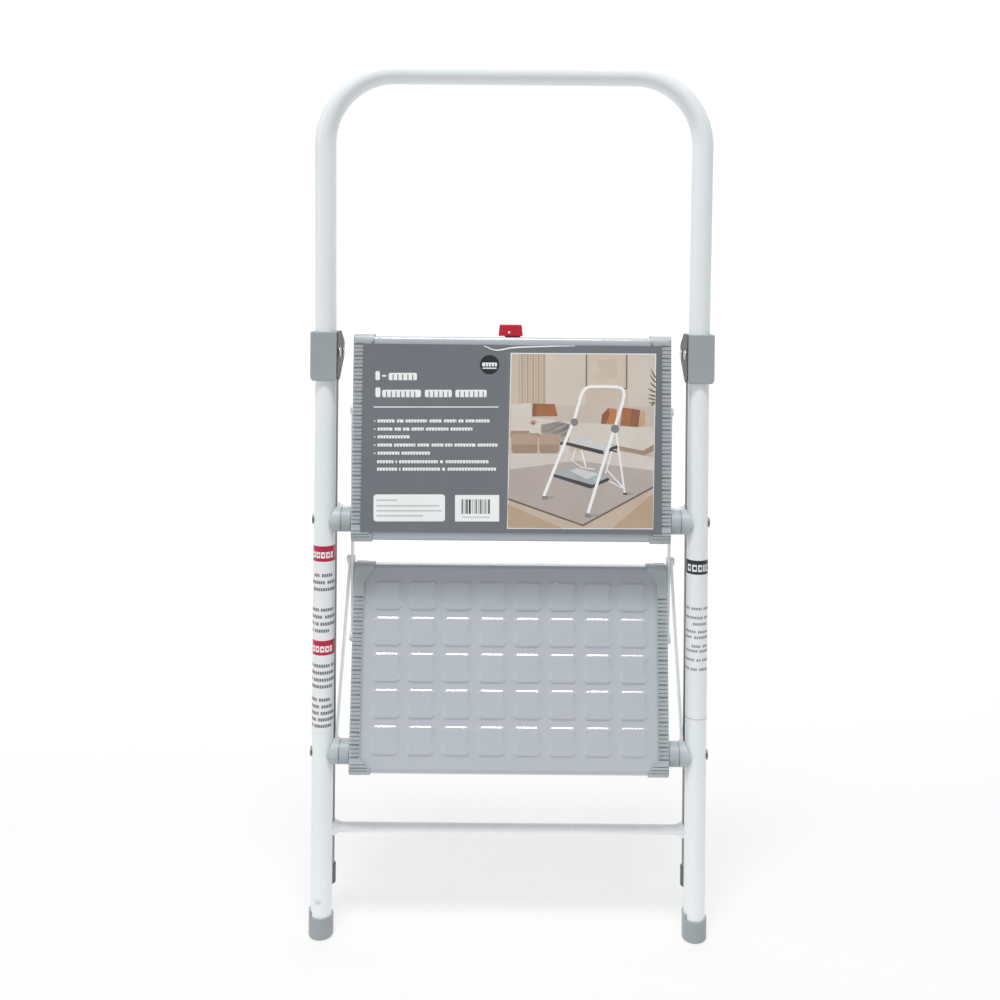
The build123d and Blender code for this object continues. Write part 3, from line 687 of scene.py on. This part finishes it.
def card():
    t = UPPER[0]
    # base sheet: closed slab with a softly waved top edge
    base = bmesh.new()
    nx, nu = 90, 36
    top, bot = [], []
    for i in range(nx + 1):
        x = -151.0 + 302.0 * i / nx
        ct, cb = [], []
        for j in range(nu + 1):
            f = j / nu
            u_hi = 178.3 - 0.5 * smooth01((x + 20) / 30) * smooth01((60 - x) / 30)
            u = -9.8 + (u_hi + 9.8) * f
            wave = 0.0
            if f > 0.95:
                wave = (f - 0.95) / 0.05 * (0.22 * math.sin(x / 19.0) + 0.18 * math.sin(x / 7.3 + 1.0) - 0.10)
            ct.append(base.verts.new(step_at(UPPER, x, u, 15.0 - 0.02 + min(0.0, wave) * 0.5)))
            cb.append(base.verts.new(step_at(UPPER, x, u, 14.52)))
        top.append(ct)
        bot.append(cb)
    for i in range(nx):
        for j in range(nu):
            base.faces.new((top[i][j], top[i + 1][j], top[i + 1][j + 1], top[i][j + 1]))
            base.faces.new((bot[i][j], bot[i][j + 1], bot[i + 1][j + 1], bot[i + 1][j]))
    for i in range(nx):
        base.faces.new((top[i][0], bot[i][0], bot[i + 1][0], top[i + 1][0]))
        base.faces.new((top[i][nu], top[i + 1][nu], bot[i + 1][nu], bot[i][nu]))
    for j in range(nu):
        base.faces.new((top[0][j], top[0][j + 1], bot[0][j + 1], bot[0][j]))
        base.faces.new((top[nx][j], bot[nx][j], bot[nx][j + 1], top[nx][j + 1]))
    sheet = piece("card_sheet", base, [INK["ground"]], "upper_step", True, 40)
    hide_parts("printed_card")

    s = Sheet()
    I = INK
    # a narrow paler stripe of the card's ground, top to bottom
    s.rect(507.6, 347.2, 509.6, 529.5, I["ground_edge"], 1)
    # two title lines as plain blocks, cut into word lengths
    for x0, x1, y0, y1 in ((375.4, 379.9, 371.0, 380.2), (382.0, 386.4, 375.0, 376.6), (388.6, 416.9, 372.9, 380.2),
                           (375.4, 380.4, 387.4, 397.2), (382.2, 420.9, 389.8, 397.2), (424.9, 451.8, 389.8, 397.2), (455.4, 486.6, 389.8, 397.2)):
        s.rect(x0, y0, x1, y1, I["white"], 2, min(1.6, (y1 - y0) * 0.35))
    # notches keep the blocks from reading as flat bars
    for x in (392.6, 397.4, 402.2, 407.4, 412.2):
        s.rect(x, 374.3, x + 1.1, 380.3, I["ground"], 3, 0.4)
    for x0, x1 in ((386.0, 420), (428.6, 451), (459.2, 486)):
        x = x0
        while x < x1 - 2:
            s.rect(x, 391.3, x + 1.1, 397.3, I["ground"], 3, 0.4)
            x += 4.7
    s.rect(373.6, 406.5, 498.4, 407.5, I["white"], 2)
    rows = ((421.0, 377.5, ((0, 17), (19.5, 26), (28, 49.5), (52, 64), (66.5, 79), (81, 86), (88, 97), (98, 112))),
            (429.1, 377.5, ((0, 15), (17, 23.5), (25.5, 32), (34, 46.5), (48.5, 71), (73, 95))),
            (436.9, 377.5, ((0, 32),)),
            (445.1, 377.5, ((0, 14.5), (16.5, 38), (40, 51.5), (54, 66), (67.5, 75), (77, 98), (100, 120))),
            (453.2, 377.5, ((0, 22), (24, 52.5))),
            (461.8, 377.0, ((0, 16.5), (18.5, 20), (22, 61), (63, 66), (68.5, 111.5))),
            (469.2, 377.0, ((0, 20), (22, 23.5), (25.5, 63), (65, 68), (70.5, 119))))
    for y, x0, words in rows:
        if y < 458:
            s.rect(373.6, y - 0.5, 375.4, y + 0.5, I["white"], 2, 0.3)
        for a, b in words:
            s.rect(x0 + a, y - 1.5, x0 + b, y + 1.5, I["white"], 2, 0.7)
            x = a + 2.2
            while x < b - 1.5:
                s.rect(x0 + x, y - 0.7, x0 + x + 0.7, y + 1.6, I["ground"], 3, 0.2)
                x += 2.9
    # round badge with two plain bars
    s.disc(489.6, 364.6, 9.7, I["black"], 2)
    s.rect(482.2, 362.6, 497.0, 366.4, I["white"], 3, 0.8)
    for x in (485.0, 488.0, 491.0, 494.0):
        s.rect(x, 363.6, x + 0.8, 366.5, I["black"], 4, 0.2)
    s.rect(482.6, 367.6, 496.6, 368.8, I["white"], 3, 0.4)
    # white boxes
    s.rect(373.5, 494.4, 445.0, 521.4, I["white"], 2, 3.0)
    for y, x1 in ((500.2, 397), (505.8, 439.5), (510.8, 441.5), (515.8, 423)):
        s.rect(376.3, y - 0.8, x1, y + 0.8, I["pale"], 3, 0.5)
    s.rect(455.0, 495.0, 499.2, 521.5, I["white"], 2, 0.4)
    x = 461.6
    k = 0
    for w, gap in ((1.2, .9), (.6, 1.1), (2.6, .8), (1.9, 1.2), (.6, 1.4), (.6, 1.1), (1.2, 1.5), (.6, .8), (1.9, 1.0), (.6, 1.3), (1.2, .9), (.6, 1.0), (1.6, .8)):
        s.rect(x, 499.4, x + w, 513.8, I["mid"] if k % 3 else I["black"], 3)
        x += w + gap
        k += 1
    s.rect(462.0, 516.6, 490.0, 517.8, I["pale"], 3, 0.4)

    # picture panel: a plain living room with a white open step stool
    q = lambda X, Y: (500 + X / 8.041, 345 + Y / 8.041)
    P = lambda pts: [q(*p) for p in pts]
    s.shape(P([(86, 63), (1256, 70), (1232, 1482), (56, 1478)]), I["white"], 2)
    s.shape(P([(93, 70), (1248, 77), (1238, 920), (72, 880)]), I["wall"], 3)
    s.shape(P([(370, 74), (690, 76), (690, 500), (370, 478)]), I["wall_l"], 4)
    for i, x in enumerate(range(150, 370, 22)):
        s.shape(P([(x, 73), (x + 13, 73), (x + 13, 470), (x, 470)]), I["drape_d"] if i % 2 else I["drape"], 4)
    s.shape(P([(712, 76), (1000, 78), (1000, 335), (712, 330)]), I["poster"], 4)
    s.shape(P([(780, 130), (930, 110), (950, 250), (820, 290)]), I["wall"], 5)
    s.shape(P([(690, 74), (700, 74), (698, 345), (688, 345)]), I["frame"], 5)
    s.shape(P([(1014, 76), (1025, 76), (1023, 356), (1000, 356), (1000, 348), (1013, 348)]), I["frame"], 5)
    s.shape(P([(1030, 77), (1246, 78), (1242, 500), (1030, 495)]), I["wall_l"], 4)
    # sofa
    s.shape(P([(90, 478), (250, 466), (470, 478), (820, 488), (1240, 500), (1238, 700), (88, 640)]), I["sofa"], 5)
    s.shape(P([(90, 478), (250, 466), (255, 580), (90, 590)]), I["sofa_l"], 6)
    s.shape(P([(262, 470), (440, 475), (464, 572), (258, 574)]), I["orange"], 7)
    s.shape(P([(262, 470), (300, 471), (290, 574), (258, 574)]), I["tan"], 8)
    s.shape(P([(820, 560), (872, 505), (940, 516), (926, 640), (812, 632)]), I["rust"], 7)
    s.shape(P([(820, 560), (872, 505), (880, 560), (850, 636), (812, 632)]), I["tan"], 8)
    s.shape(P([(985, 502), (1128, 522), (1112, 660), (965, 648)]), I["orange"], 7)
    s.shape(P([(1060, 512), (1128, 522), (1112, 660), (1040, 655)]), I["tan"], 8)
    s.shape(P([(1130, 540), (1165, 520), (1165, 650), (1112, 660)]), I["cream"], 8)
    s.shape(P([(88, 600), (120, 584), (330, 590), (480, 612), (560, 640), (560, 870), (85, 860)]), I["sofa_l"], 6)
    s.shape(P([(330, 640), (480, 612), (900, 640), (900, 800), (480, 800), (330, 700)]), I["sofa_l"], 6)
    s.shape(P([(86, 690), (250, 690), (330, 720), (330, 745), (86, 745)]), I["sofa_d"], 7)
    s.shape(P(rr(90, 712, 305, 872, 34)), I["pouf"], 8)
    s.shape(P(rr(311, 712, 480, 872, 30)), I["pouf"], 8)
    s.shape(P([(96, 800), (300, 800), (300, 866), (110, 872), (96, 850)]), I["sofa_d"], 9)
    s.shape(P([(318, 800), (474, 800), (474, 850), (460, 868), (330, 868), (318, 850)]), I["sofa_d"], 9)
    s.shape(P([(880, 655), (1236, 660), (1235, 850), (1160, 886), (850, 815)]), I["sofa_l"], 7)
    s.shape(P([(850, 790), (1150, 850), (1235, 800), (1235, 850), (1160, 886), (850, 822)]), I["sofa_d"], 8)
    # side table with a vase
    s.shape(P(rr(236, 650, 318, 708, 12)), I["sofa_l"], 9)
    for a in (-62, -34, -8, 22, 50):
        r = math.radians(a - 90)
        s.shape(P([(268, 646), (268 + 20 * math.cos(r) - 6, 646 + 30 * math.sin(r)), (268 + 52 * math.cos(r), 646 + 56 * math.sin(r)),
                   (268 + 20 * math.cos(r) + 7, 646 + 30 * math.sin(r))]), I["flower"], 10)
    # floor, rug
    s.shape(P([(76, 868), (560, 862), (850, 828), (1236, 880), (1230, 1474), (62, 1470)]), I["wood"], 5)
    s.shape(P([(62, 1280), (500, 1474), (62, 1470)]), I["wood_l"], 6)
    s.shape(P([(1232, 1190), (1230, 1474), (900, 1474)]), I["wood_l"], 6)
    s.shape(P([(80, 874), (480, 874), (850, 836), (1235, 905), (1233, 1150), (668, 1458), (64, 1245)]), I["rug_edge"], 7)
    s.shape(P([(80, 872), (480, 872), (850, 834), (1235, 903), (1233, 1134), (666, 1443), (66, 1230)]), I["rug"], 8)
    s.shape(P([(80, 872), (480, 872), (850, 834), (1235, 903), (1233, 1010), (620, 930), (80, 1000)]), I["rug_l"], 9)
    # plant at the edge
    for x0, y0, x1, y1, w in ((1250, 262, 1212, 188, 12), (1250, 300, 1204, 236, 12), (1250, 340, 1206, 300, 12), (1248, 380, 1188, 348, 13),
                              (1248, 412, 1192, 396, 13), (1246, 440, 1186, 424, 12), (1246, 462, 1196, 466, 13), (1244, 470, 1210, 492, 12)):
        s.line([q(x0, y0), q((x0 + x1) / 2 - 3, (y0 + y1) / 2), q(x1, y1)], [w / 8.04, w / 8.04 * 0.8, 0.25], I["leaf"], 9)
    # the stool in the picture
    for cx, cy in ((405, 1226), (752, 1370), (1030, 1196)):
        s.disc(*q(cx, cy), 5.5, I["shadow"], 10, ry=1.5)
    thin = 10 / 8.04
    s.line([q(612, 660), q(632, 760)], thin, I["sofa_l"], 11)
    s.line([q(655, 845), q(690, 980)], thin, I["white"], 11)
    s.line([q(605, 840), q(578, 930), q(660, 985), q(760, 1000)], thin * 0.7, I["white"], 11)
    s.line([q(932, 690), q(962, 900), q(1002, 1188)], 14 / 8.04, I["white"], 11)
    s.line([q(905, 840), q(850, 1030)], thin, I["white"], 11)
    s.line([q(865, 1010), q(990, 1146)], thin, I["white"], 11)
    s.line([q(870, 1090), q(985, 1150)], thin * 0.8, I["white"], 11)
    s.line([q(990, 1196), q(1022, 1196)], 14 / 8.04, I["dark"], 12)
    s.shape(P([(425, 1036), (600, 975), (830, 1035), (872, 1070), (742, 1128)]), I["steel_d"], 12)
    s.shape(P([(560, 1010), (620, 990), (790, 1035), (700, 1080)]), I["steel"], 13)
    s.shape(P([(425, 1034), (742, 1124), (742, 1152), (720, 1152), (425, 1056)]), I["dark"], 13)
    s.line([q(742, 1140), q(800, 1108), q(876, 1076)], 24 / 8.04, I["dark"], 13)
    s.shape(P([(522, 780), (690, 744), (885, 800), (945, 818), (832, 856)]), I["steel"], 12)
    s.shape(P([(522, 776), (832, 850), (832, 878), (800, 874), (522, 800)]), I["dark"], 13)
    s.line([q(484, 792), q(540, 792)], 22 / 8.04, I["dark"], 13)
    s.line([q(870, 852), q(905, 828), q(945, 818)], 22 / 8.04, I["dark"], 13)
    s.line([q(890, 846), q(940, 858)], 12 / 8.04, I["dark"], 13)
    arc = [(655, 400), (668, 372), (690, 348), (722, 336), (830, 334), (945, 338), (975, 346), (993, 368), (998, 400)]
    s.line([q(352, 1215), q(420, 1040), q(520, 790), q(600, 590)] + [q(*p) for p in arc] + [q(985, 470), q(905, 720), q(800, 1050), q(708, 1350)],
           24 / 8.04, I["white"], 14)
    s.disc(*q(598, 620), 30 / 8.04, I["grey"], 15)
    s.disc(*q(925, 674), 33 / 8.04, I["grey"], 15)
    s.disc(*q(592, 612), 12 / 8.04, I["mid"], 16)
    s.disc(*q(918, 666), 13 / 8.04, I["mid"], 16)
    s.line([q(338, 1226), q(384, 1228)], 26 / 8.04, I["grey"], 15)
    s.line([q(682, 1368), q(734, 1376)], 26 / 8.04, I["grey"], 15)
    art = piece("card_print", s.bm, s.mats, "upper_step")
    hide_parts("printed_card")

    # fold of clear film along the top edge: a raised ridge, coloured near-white as a painted highlight of the film's
    # glare
    ridge = bmesh.new()
    path = []
    for px, py in ((484.0, 346.0), (487.0, 347.2), (490.5, 348.9), (494.0, 350.0), (498.0, 350.3), (503.0, 349.6), (509.0, 348.3), (516.0, 347.5),
                   (526.0, 347.1), (540.0, 346.7), (556.0, 346.3), (575.0, 346.0)):
        path.append(lay(px, py))
    rings = []
    for i, (x, u) in enumerate(path):
        f = i / (len(path) - 1)
        w = 0.75 * (0.35 + 0.65 * math.sin(math.pi * min(1, 0.12 + 0.75 * f)))
        ring = []
        for k in range(8):
            a = 2 * math.pi * k / 8
            ring.append(ridge.verts.new(step_at(UPPER, x, u + w * math.cos(a), 15.05 + 0.32 * math.sin(a) + (0.12 if f < 0.5 else 0.0))))
        rings.append(ring)
    for i in range(len(rings) - 1):
        for k in range(8):
            ridge.faces.new((rings[i][k], rings[i][(k + 1) % 8], rings[i + 1][(k + 1) % 8], rings[i + 1][k]))
    ridge.faces.new(rings[0])
    ridge.faces.new(list(reversed(rings[-1])))
    piece("card_film_fold", ridge, [M["film"]], "upper_step", True)


card()


# ---- labels round the front legs
LEG_X, LABEL_R = 0.18925, 0.0109


def label_z(py, side):
    dx = 182 if side > 0 else -190
    down = -dx * math.sin(math.radians(ROLL)) + (py - CY) * math.cos(math.radians(ROLL))
    return (675.6 - down * 1111.46 / FOCAL) / 1000


def arc_patch(bm, mats, m, cx, z0, z1, a0, a1, r0, r1, steps=None):
    """Closed curved plate on a leg between heights z0, z1 and angles a0, a1 (0 faces forward, positive to +X)."""
    if m not in mats:
        mats.append(m)
    k = mats.index(m)
    n = steps or max(2, int(abs(a1 - a0) / 6) + 1)
    cols = []
    for i in range(n + 1):
        a = math.radians(a0 + (a1 - a0) * i / n)
        cols.append([bm.verts.new((cx + r * math.sin(a), Y_SHIFT - r * math.cos(a), z)) for r, z in ((r1, z0), (r1, z1), (r0, z1), (r0, z0))])
    fs = []
    for i in range(n):
        for j in range(4):
            fs.append(bm.faces.new((cols[i][j], cols[i + 1][j], cols[i + 1][(j + 1) % 4], cols[i][(j + 1) % 4])))
    fs.append(bm.faces.new(cols[0]))
    fs.append(bm.faces.new(list(reversed(cols[-1]))))
    for f in fs:
        f.material_index = k


def labels():
    paper = ink("label_white", (238, 241, 243), (232, 236, 239), 12, 0.35)
    red = ink("label_red", (196, 28, 72), (182, 22, 62), 30, 0.35)
    black = ink("label_black", (46, 50, 56), (38, 42, 48), 30, 0.35)
    grey = ink("label_grey", (118, 120, 124), (104, 106, 110), 60, 0.4)
    soft = ink("label_soft_grey", (150, 153, 158), (138, 141, 146), 60, 0.4)
    for side, name in ((-1, "left"), (1, "right")):
        bm, mats = bmesh.new(), []
        cx = side * LEG_X
        r = LABEL_R
        if side < 0:
            z_lo, z_hi = 0.2085, label_z(546.2, side)
        else:
            z_lo, z_hi = label_z(719.6, side), label_z(560.6, side)
        arc_patch(bm, mats, paper, cx, z_lo, z_hi, -98, 98, r - 0.0001, r)
        if side < 0:
            for y0, y1 in ((546.4, 561.9), (641.0, 655.6)):
                arc_patch(bm, mats, red, cx, label_z(y1, side), label_z(y0, side), -98, 98, r - 0.00005, r + 0.00004)
                ym = (y0 + y1) / 2 + 1.2
                # row of plain blocks
                for a0, a1 in ((-62, -40), (-35, -13), (-8, 14), (19, 41), (46, 60)):
                    arc_patch(bm, mats, paper, cx, label_z(ym + 3.1, side), label_z(ym - 3.1, side), a0, a1, r, r + 0.00008)
                    arc_patch(bm, mats, red, cx, label_z(ym + 1.0, side), label_z(ym - 1.0, side), a0 + 7, a1 - 5, r, r + 0.00011)
            rows = ((575.7, ((-50, -12), (-2, 62))), (582.7, ((-84, 18), (28, 84))), (589.7, ((-58, 84),)),
                    (610.2, ((-76, -16), (-6, 66))), (617.2, ((-84, 6), (16, 84))), (624.2, ((-84, -50), (-40, -18), (-8, 84))),
                    (631.2, ((-74, -54), (-42, 40))),
                    (666.3, ((-84, -62), (-52, 46), (56, 84))), (673.3, ((-84, 76),)), (680.3, ((-84, -58), (-48, 84))), (687.0, ((-84, 66),)),
                    (700.2, ((-84, -24), (-12, 50))), (707.0, ((-84, -10), (2, 62))), (713.6, ((-84, -14), (-2, 84))), (720.0, ((-84, -28), (-16, 80))),
                    (726.4, ((-72, -52), (-40, 62))))
            tone = grey
            size = 1.55
        else:
            arc_patch(bm, mats, black, cx, label_z(574.8, side), label_z(560.8, side), -98, 98, r - 0.00005, r + 0.00004)
            for a0, a1 in ((-66, -44), (-36, -10), (-4, 18), (24, 34), (40, 58)):
                arc_patch(bm, mats, paper, cx, label_z(572.0, side), label_z(565.0, side), a0, a1, r, r + 0.00008)
                arc_patch(bm, mats, black, cx, label_z(570.0, side), label_z(567.0, side), a0 + 7, a1 - 4, r, r + 0.00011)
            rows = ((609.1, ((-84, -50), (-38, 18), (28, 72))), (618.1, ((-84, 24), (34, 70))), (624.4, ((-30, 52),)), (632.2, ((-84, -14), (-2, 66))),
                    (637.8, ((-84, -36), (-22, 70))), (646.6, ((-36, 16), (26, 66))), (651.4, ((-76, -4), (6, 72))), (660.4, ((-80, -20), (-8, 12), (22, 70))),
                    (669.8, ((-84, -50), (-40, -6), (6, 64))))
            tone = soft
            arc_patch(bm, mats, ink("label_line", (206, 208, 210), (198, 200, 203)), cx, label_z(720.6, side) + 0.0003, label_z(719.6, side) + 0.0003, -98, 98, r, r + 0.00006)
            size = 1.25
        for y, words in rows:
            for a0, a1 in words:
                a = a0
                while a < a1 - 3:
                    b = min(a + 9.5, a1)
                    arc_patch(bm, mats, tone, cx, label_z(y + size, side), label_z(y - size, side), a, b, r, r + 0.00006, 2)
                    a = b + 3.0
        o = piece("label_" + name, bm, mats, "front_frame")
        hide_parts("leg_label_" + name)


labels()


# ---- weld beads where the crossbars meet the rear legs
def weld(name, side, y, z, r, r_leg, x_leg, mat):
    """Ring of overlapping weld ripples flaring from a crossbar onto the leg."""
    bm = bmesh.new()
    n_a, n_s = 56, 10
    rings = []
    for j in range(n_s + 1):
        f = j / n_s
        ring = []
        for i in range(n_a):
            a = 2 * math.pi * i / n_a
            # meeting curve with the leg
            rr_ = r * (1 + 0.55 * smooth01(f) ** 1.6)
            ripple = 0.00028 * math.sin(a * 14 + 2.1 * f) * math.sin(math.pi * f)
            rad = rr_ + ripple + 0.00035 * math.sin(math.pi * f)
            cy, cz = rad * math.cos(a), rad * math.sin(a)
            inner = x_leg - math.sqrt(max(1e-9, r_leg ** 2 - min(r_leg, abs(cy)) ** 2))
            start = inner - 0.0068 + 0.0009 * math.sin(a * 3 + 1)
            x = start + (inner + 0.0006 - start) * f
            ring.append(bm.verts.new((side * x, min(y + cy, 0.03185), z + cz)))
        rings.append(ring)
    for j in range(n_s):
        for i in range(n_a):
            bm.faces.new((rings[j][i], rings[j][(i + 1) % n_a], rings[j + 1][(i + 1) % n_a], rings[j + 1][i]))
    bm.faces.new(rings[0])
    bm.faces.new(list(reversed(rings[-1])))
    return piece(name, bm, [mat], "rear_frame", True, 60)


for side, nm in ((-1, "left"), (1, "right")):
    weld("weld_upper_" + nm, side, 0.027 + 0.003 + Y_SHIFT, 0.4236, 0.0060, 0.008, 0.1885, M["white_bar_lit"])
    weld("weld_lower_" + nm, side, 0.027 + Y_SHIFT, 0.0957, 0.0052, 0.008, 0.1885, M["white_bar_lit"])


# ---- small turned parts
def lathe(name, profile, at, axis, mat, body, n=40, smooth=True, sharp=35):
    """profile: (distance along axis, radius) points; closed at both ends."""
    bm = bmesh.new()
    ax = Vector(axis).normalized()
    side = ax.orthogonal().normalized()
    other = ax.cross(side)
    rings = []
    for d, r in profile:
        if r < 1e-7:
            rings.append([bm.verts.new(Vector(at) + ax * d)])
        else:
            rings.append([bm.verts.new(Vector(at) + ax * d + (side * math.cos(2 * math.pi * i / n) + other * math.sin(2 * math.pi * i / n)) * r)
                          for i in range(n)])
    for a, b in zip(rings, rings[1:]):
        for i in range(n):
            if len(a) == 1 and len(b) == 1:
                continue
            if len(a) == 1:
                bm.faces.new((a[0], b[i], b[(i + 1) % n]))
            elif len(b) == 1:
                bm.faces.new((a[i], b[0], a[(i + 1) % n]))
            else:
                bm.faces.new((a[i], b[i], b[(i + 1) % n], a[(i + 1) % n]))
    if len(rings[0]) > 1:
        bm.faces.new(list(reversed(rings[0])))
    if len(rings[-1]) > 1:
        bm.faces.new(rings[-1])
    return piece(name, bm, [mat], body, smooth, sharp)


def washer(name, at, axis, r0, r1, t, mat, body):
    """Ring with rounded faces round a rivet head."""
    bm = bmesh.new()
    ax = Vector(axis).normalized()
    side = ax.orthogonal().normalized()
    other = ax.cross(side)
    prof = [(0, r0), (t * 0.7, r0), (t, r0 + 0.0002), (t, r1 - 0.0003), (t * 0.6, r1), (0, r1)]
    n = 44
    rings = [[bm.verts.new(Vector(at) + ax * d + (side * math.cos(2 * math.pi * i / n) + other * math.sin(2 * math.pi * i / n)) * r)
              for i in range(n)] for d, r in prof]
    for k in range(len(rings)):
        a, b = rings[k], rings[(k + 1) % len(rings)]
        for i in range(n):
            bm.faces.new((a[i], b[i], b[(i + 1) % n], a[(i + 1) % n]))
    return piece(name, bm, [mat], body, True, 35)


BR_IN = 0.1756
for side, nm in ((-1, "left"), (1, "right")):
    # dark rings round the bracket rivets, on the inner cheek: painted shade round the rivet heads
    washer("shade_ring_fix_" + nm, (side * (BR_IN + 0.0002), Y_SHIFT, 0.5915), (-side, 0, 0), 0.0050, 0.0063, 0.0005, M["dark"], "front_frame")
    washer("shade_ring_pivot_" + nm, (side * (BR_IN + 0.0002), 0.0226, 0.590), (-side, 0, 0), 0.0054, 0.0068, 0.0005, M["dark"], "front_frame")
    # thin washers between barrel and end cap
    for lv, z in (("upper", 0.4215), ("lower", 0.1862)):
        washer("washer_" + lv + "_" + nm, (side * 0.1610, Y_SHIFT, z), (-side, 0, 0), 0.0041, 0.0100, 0.00025, M["zinc"], "front_frame")

# white dot on the red latch
dot_at = Vector((-0.0036, *((step_at(UPPER, -3.6, 190.9, 9.5))[1:])))
up = Vector((0, -math.cos(UPPER[0]), math.sin(UPPER[0])))
lathe("latch_dot", [(-0.0004, 0.0011), (0.00012, 0.0011), (0.00022, 0.0008), (0.00024, 0.0)], dot_at, up, INK["white"], "latch", 24)
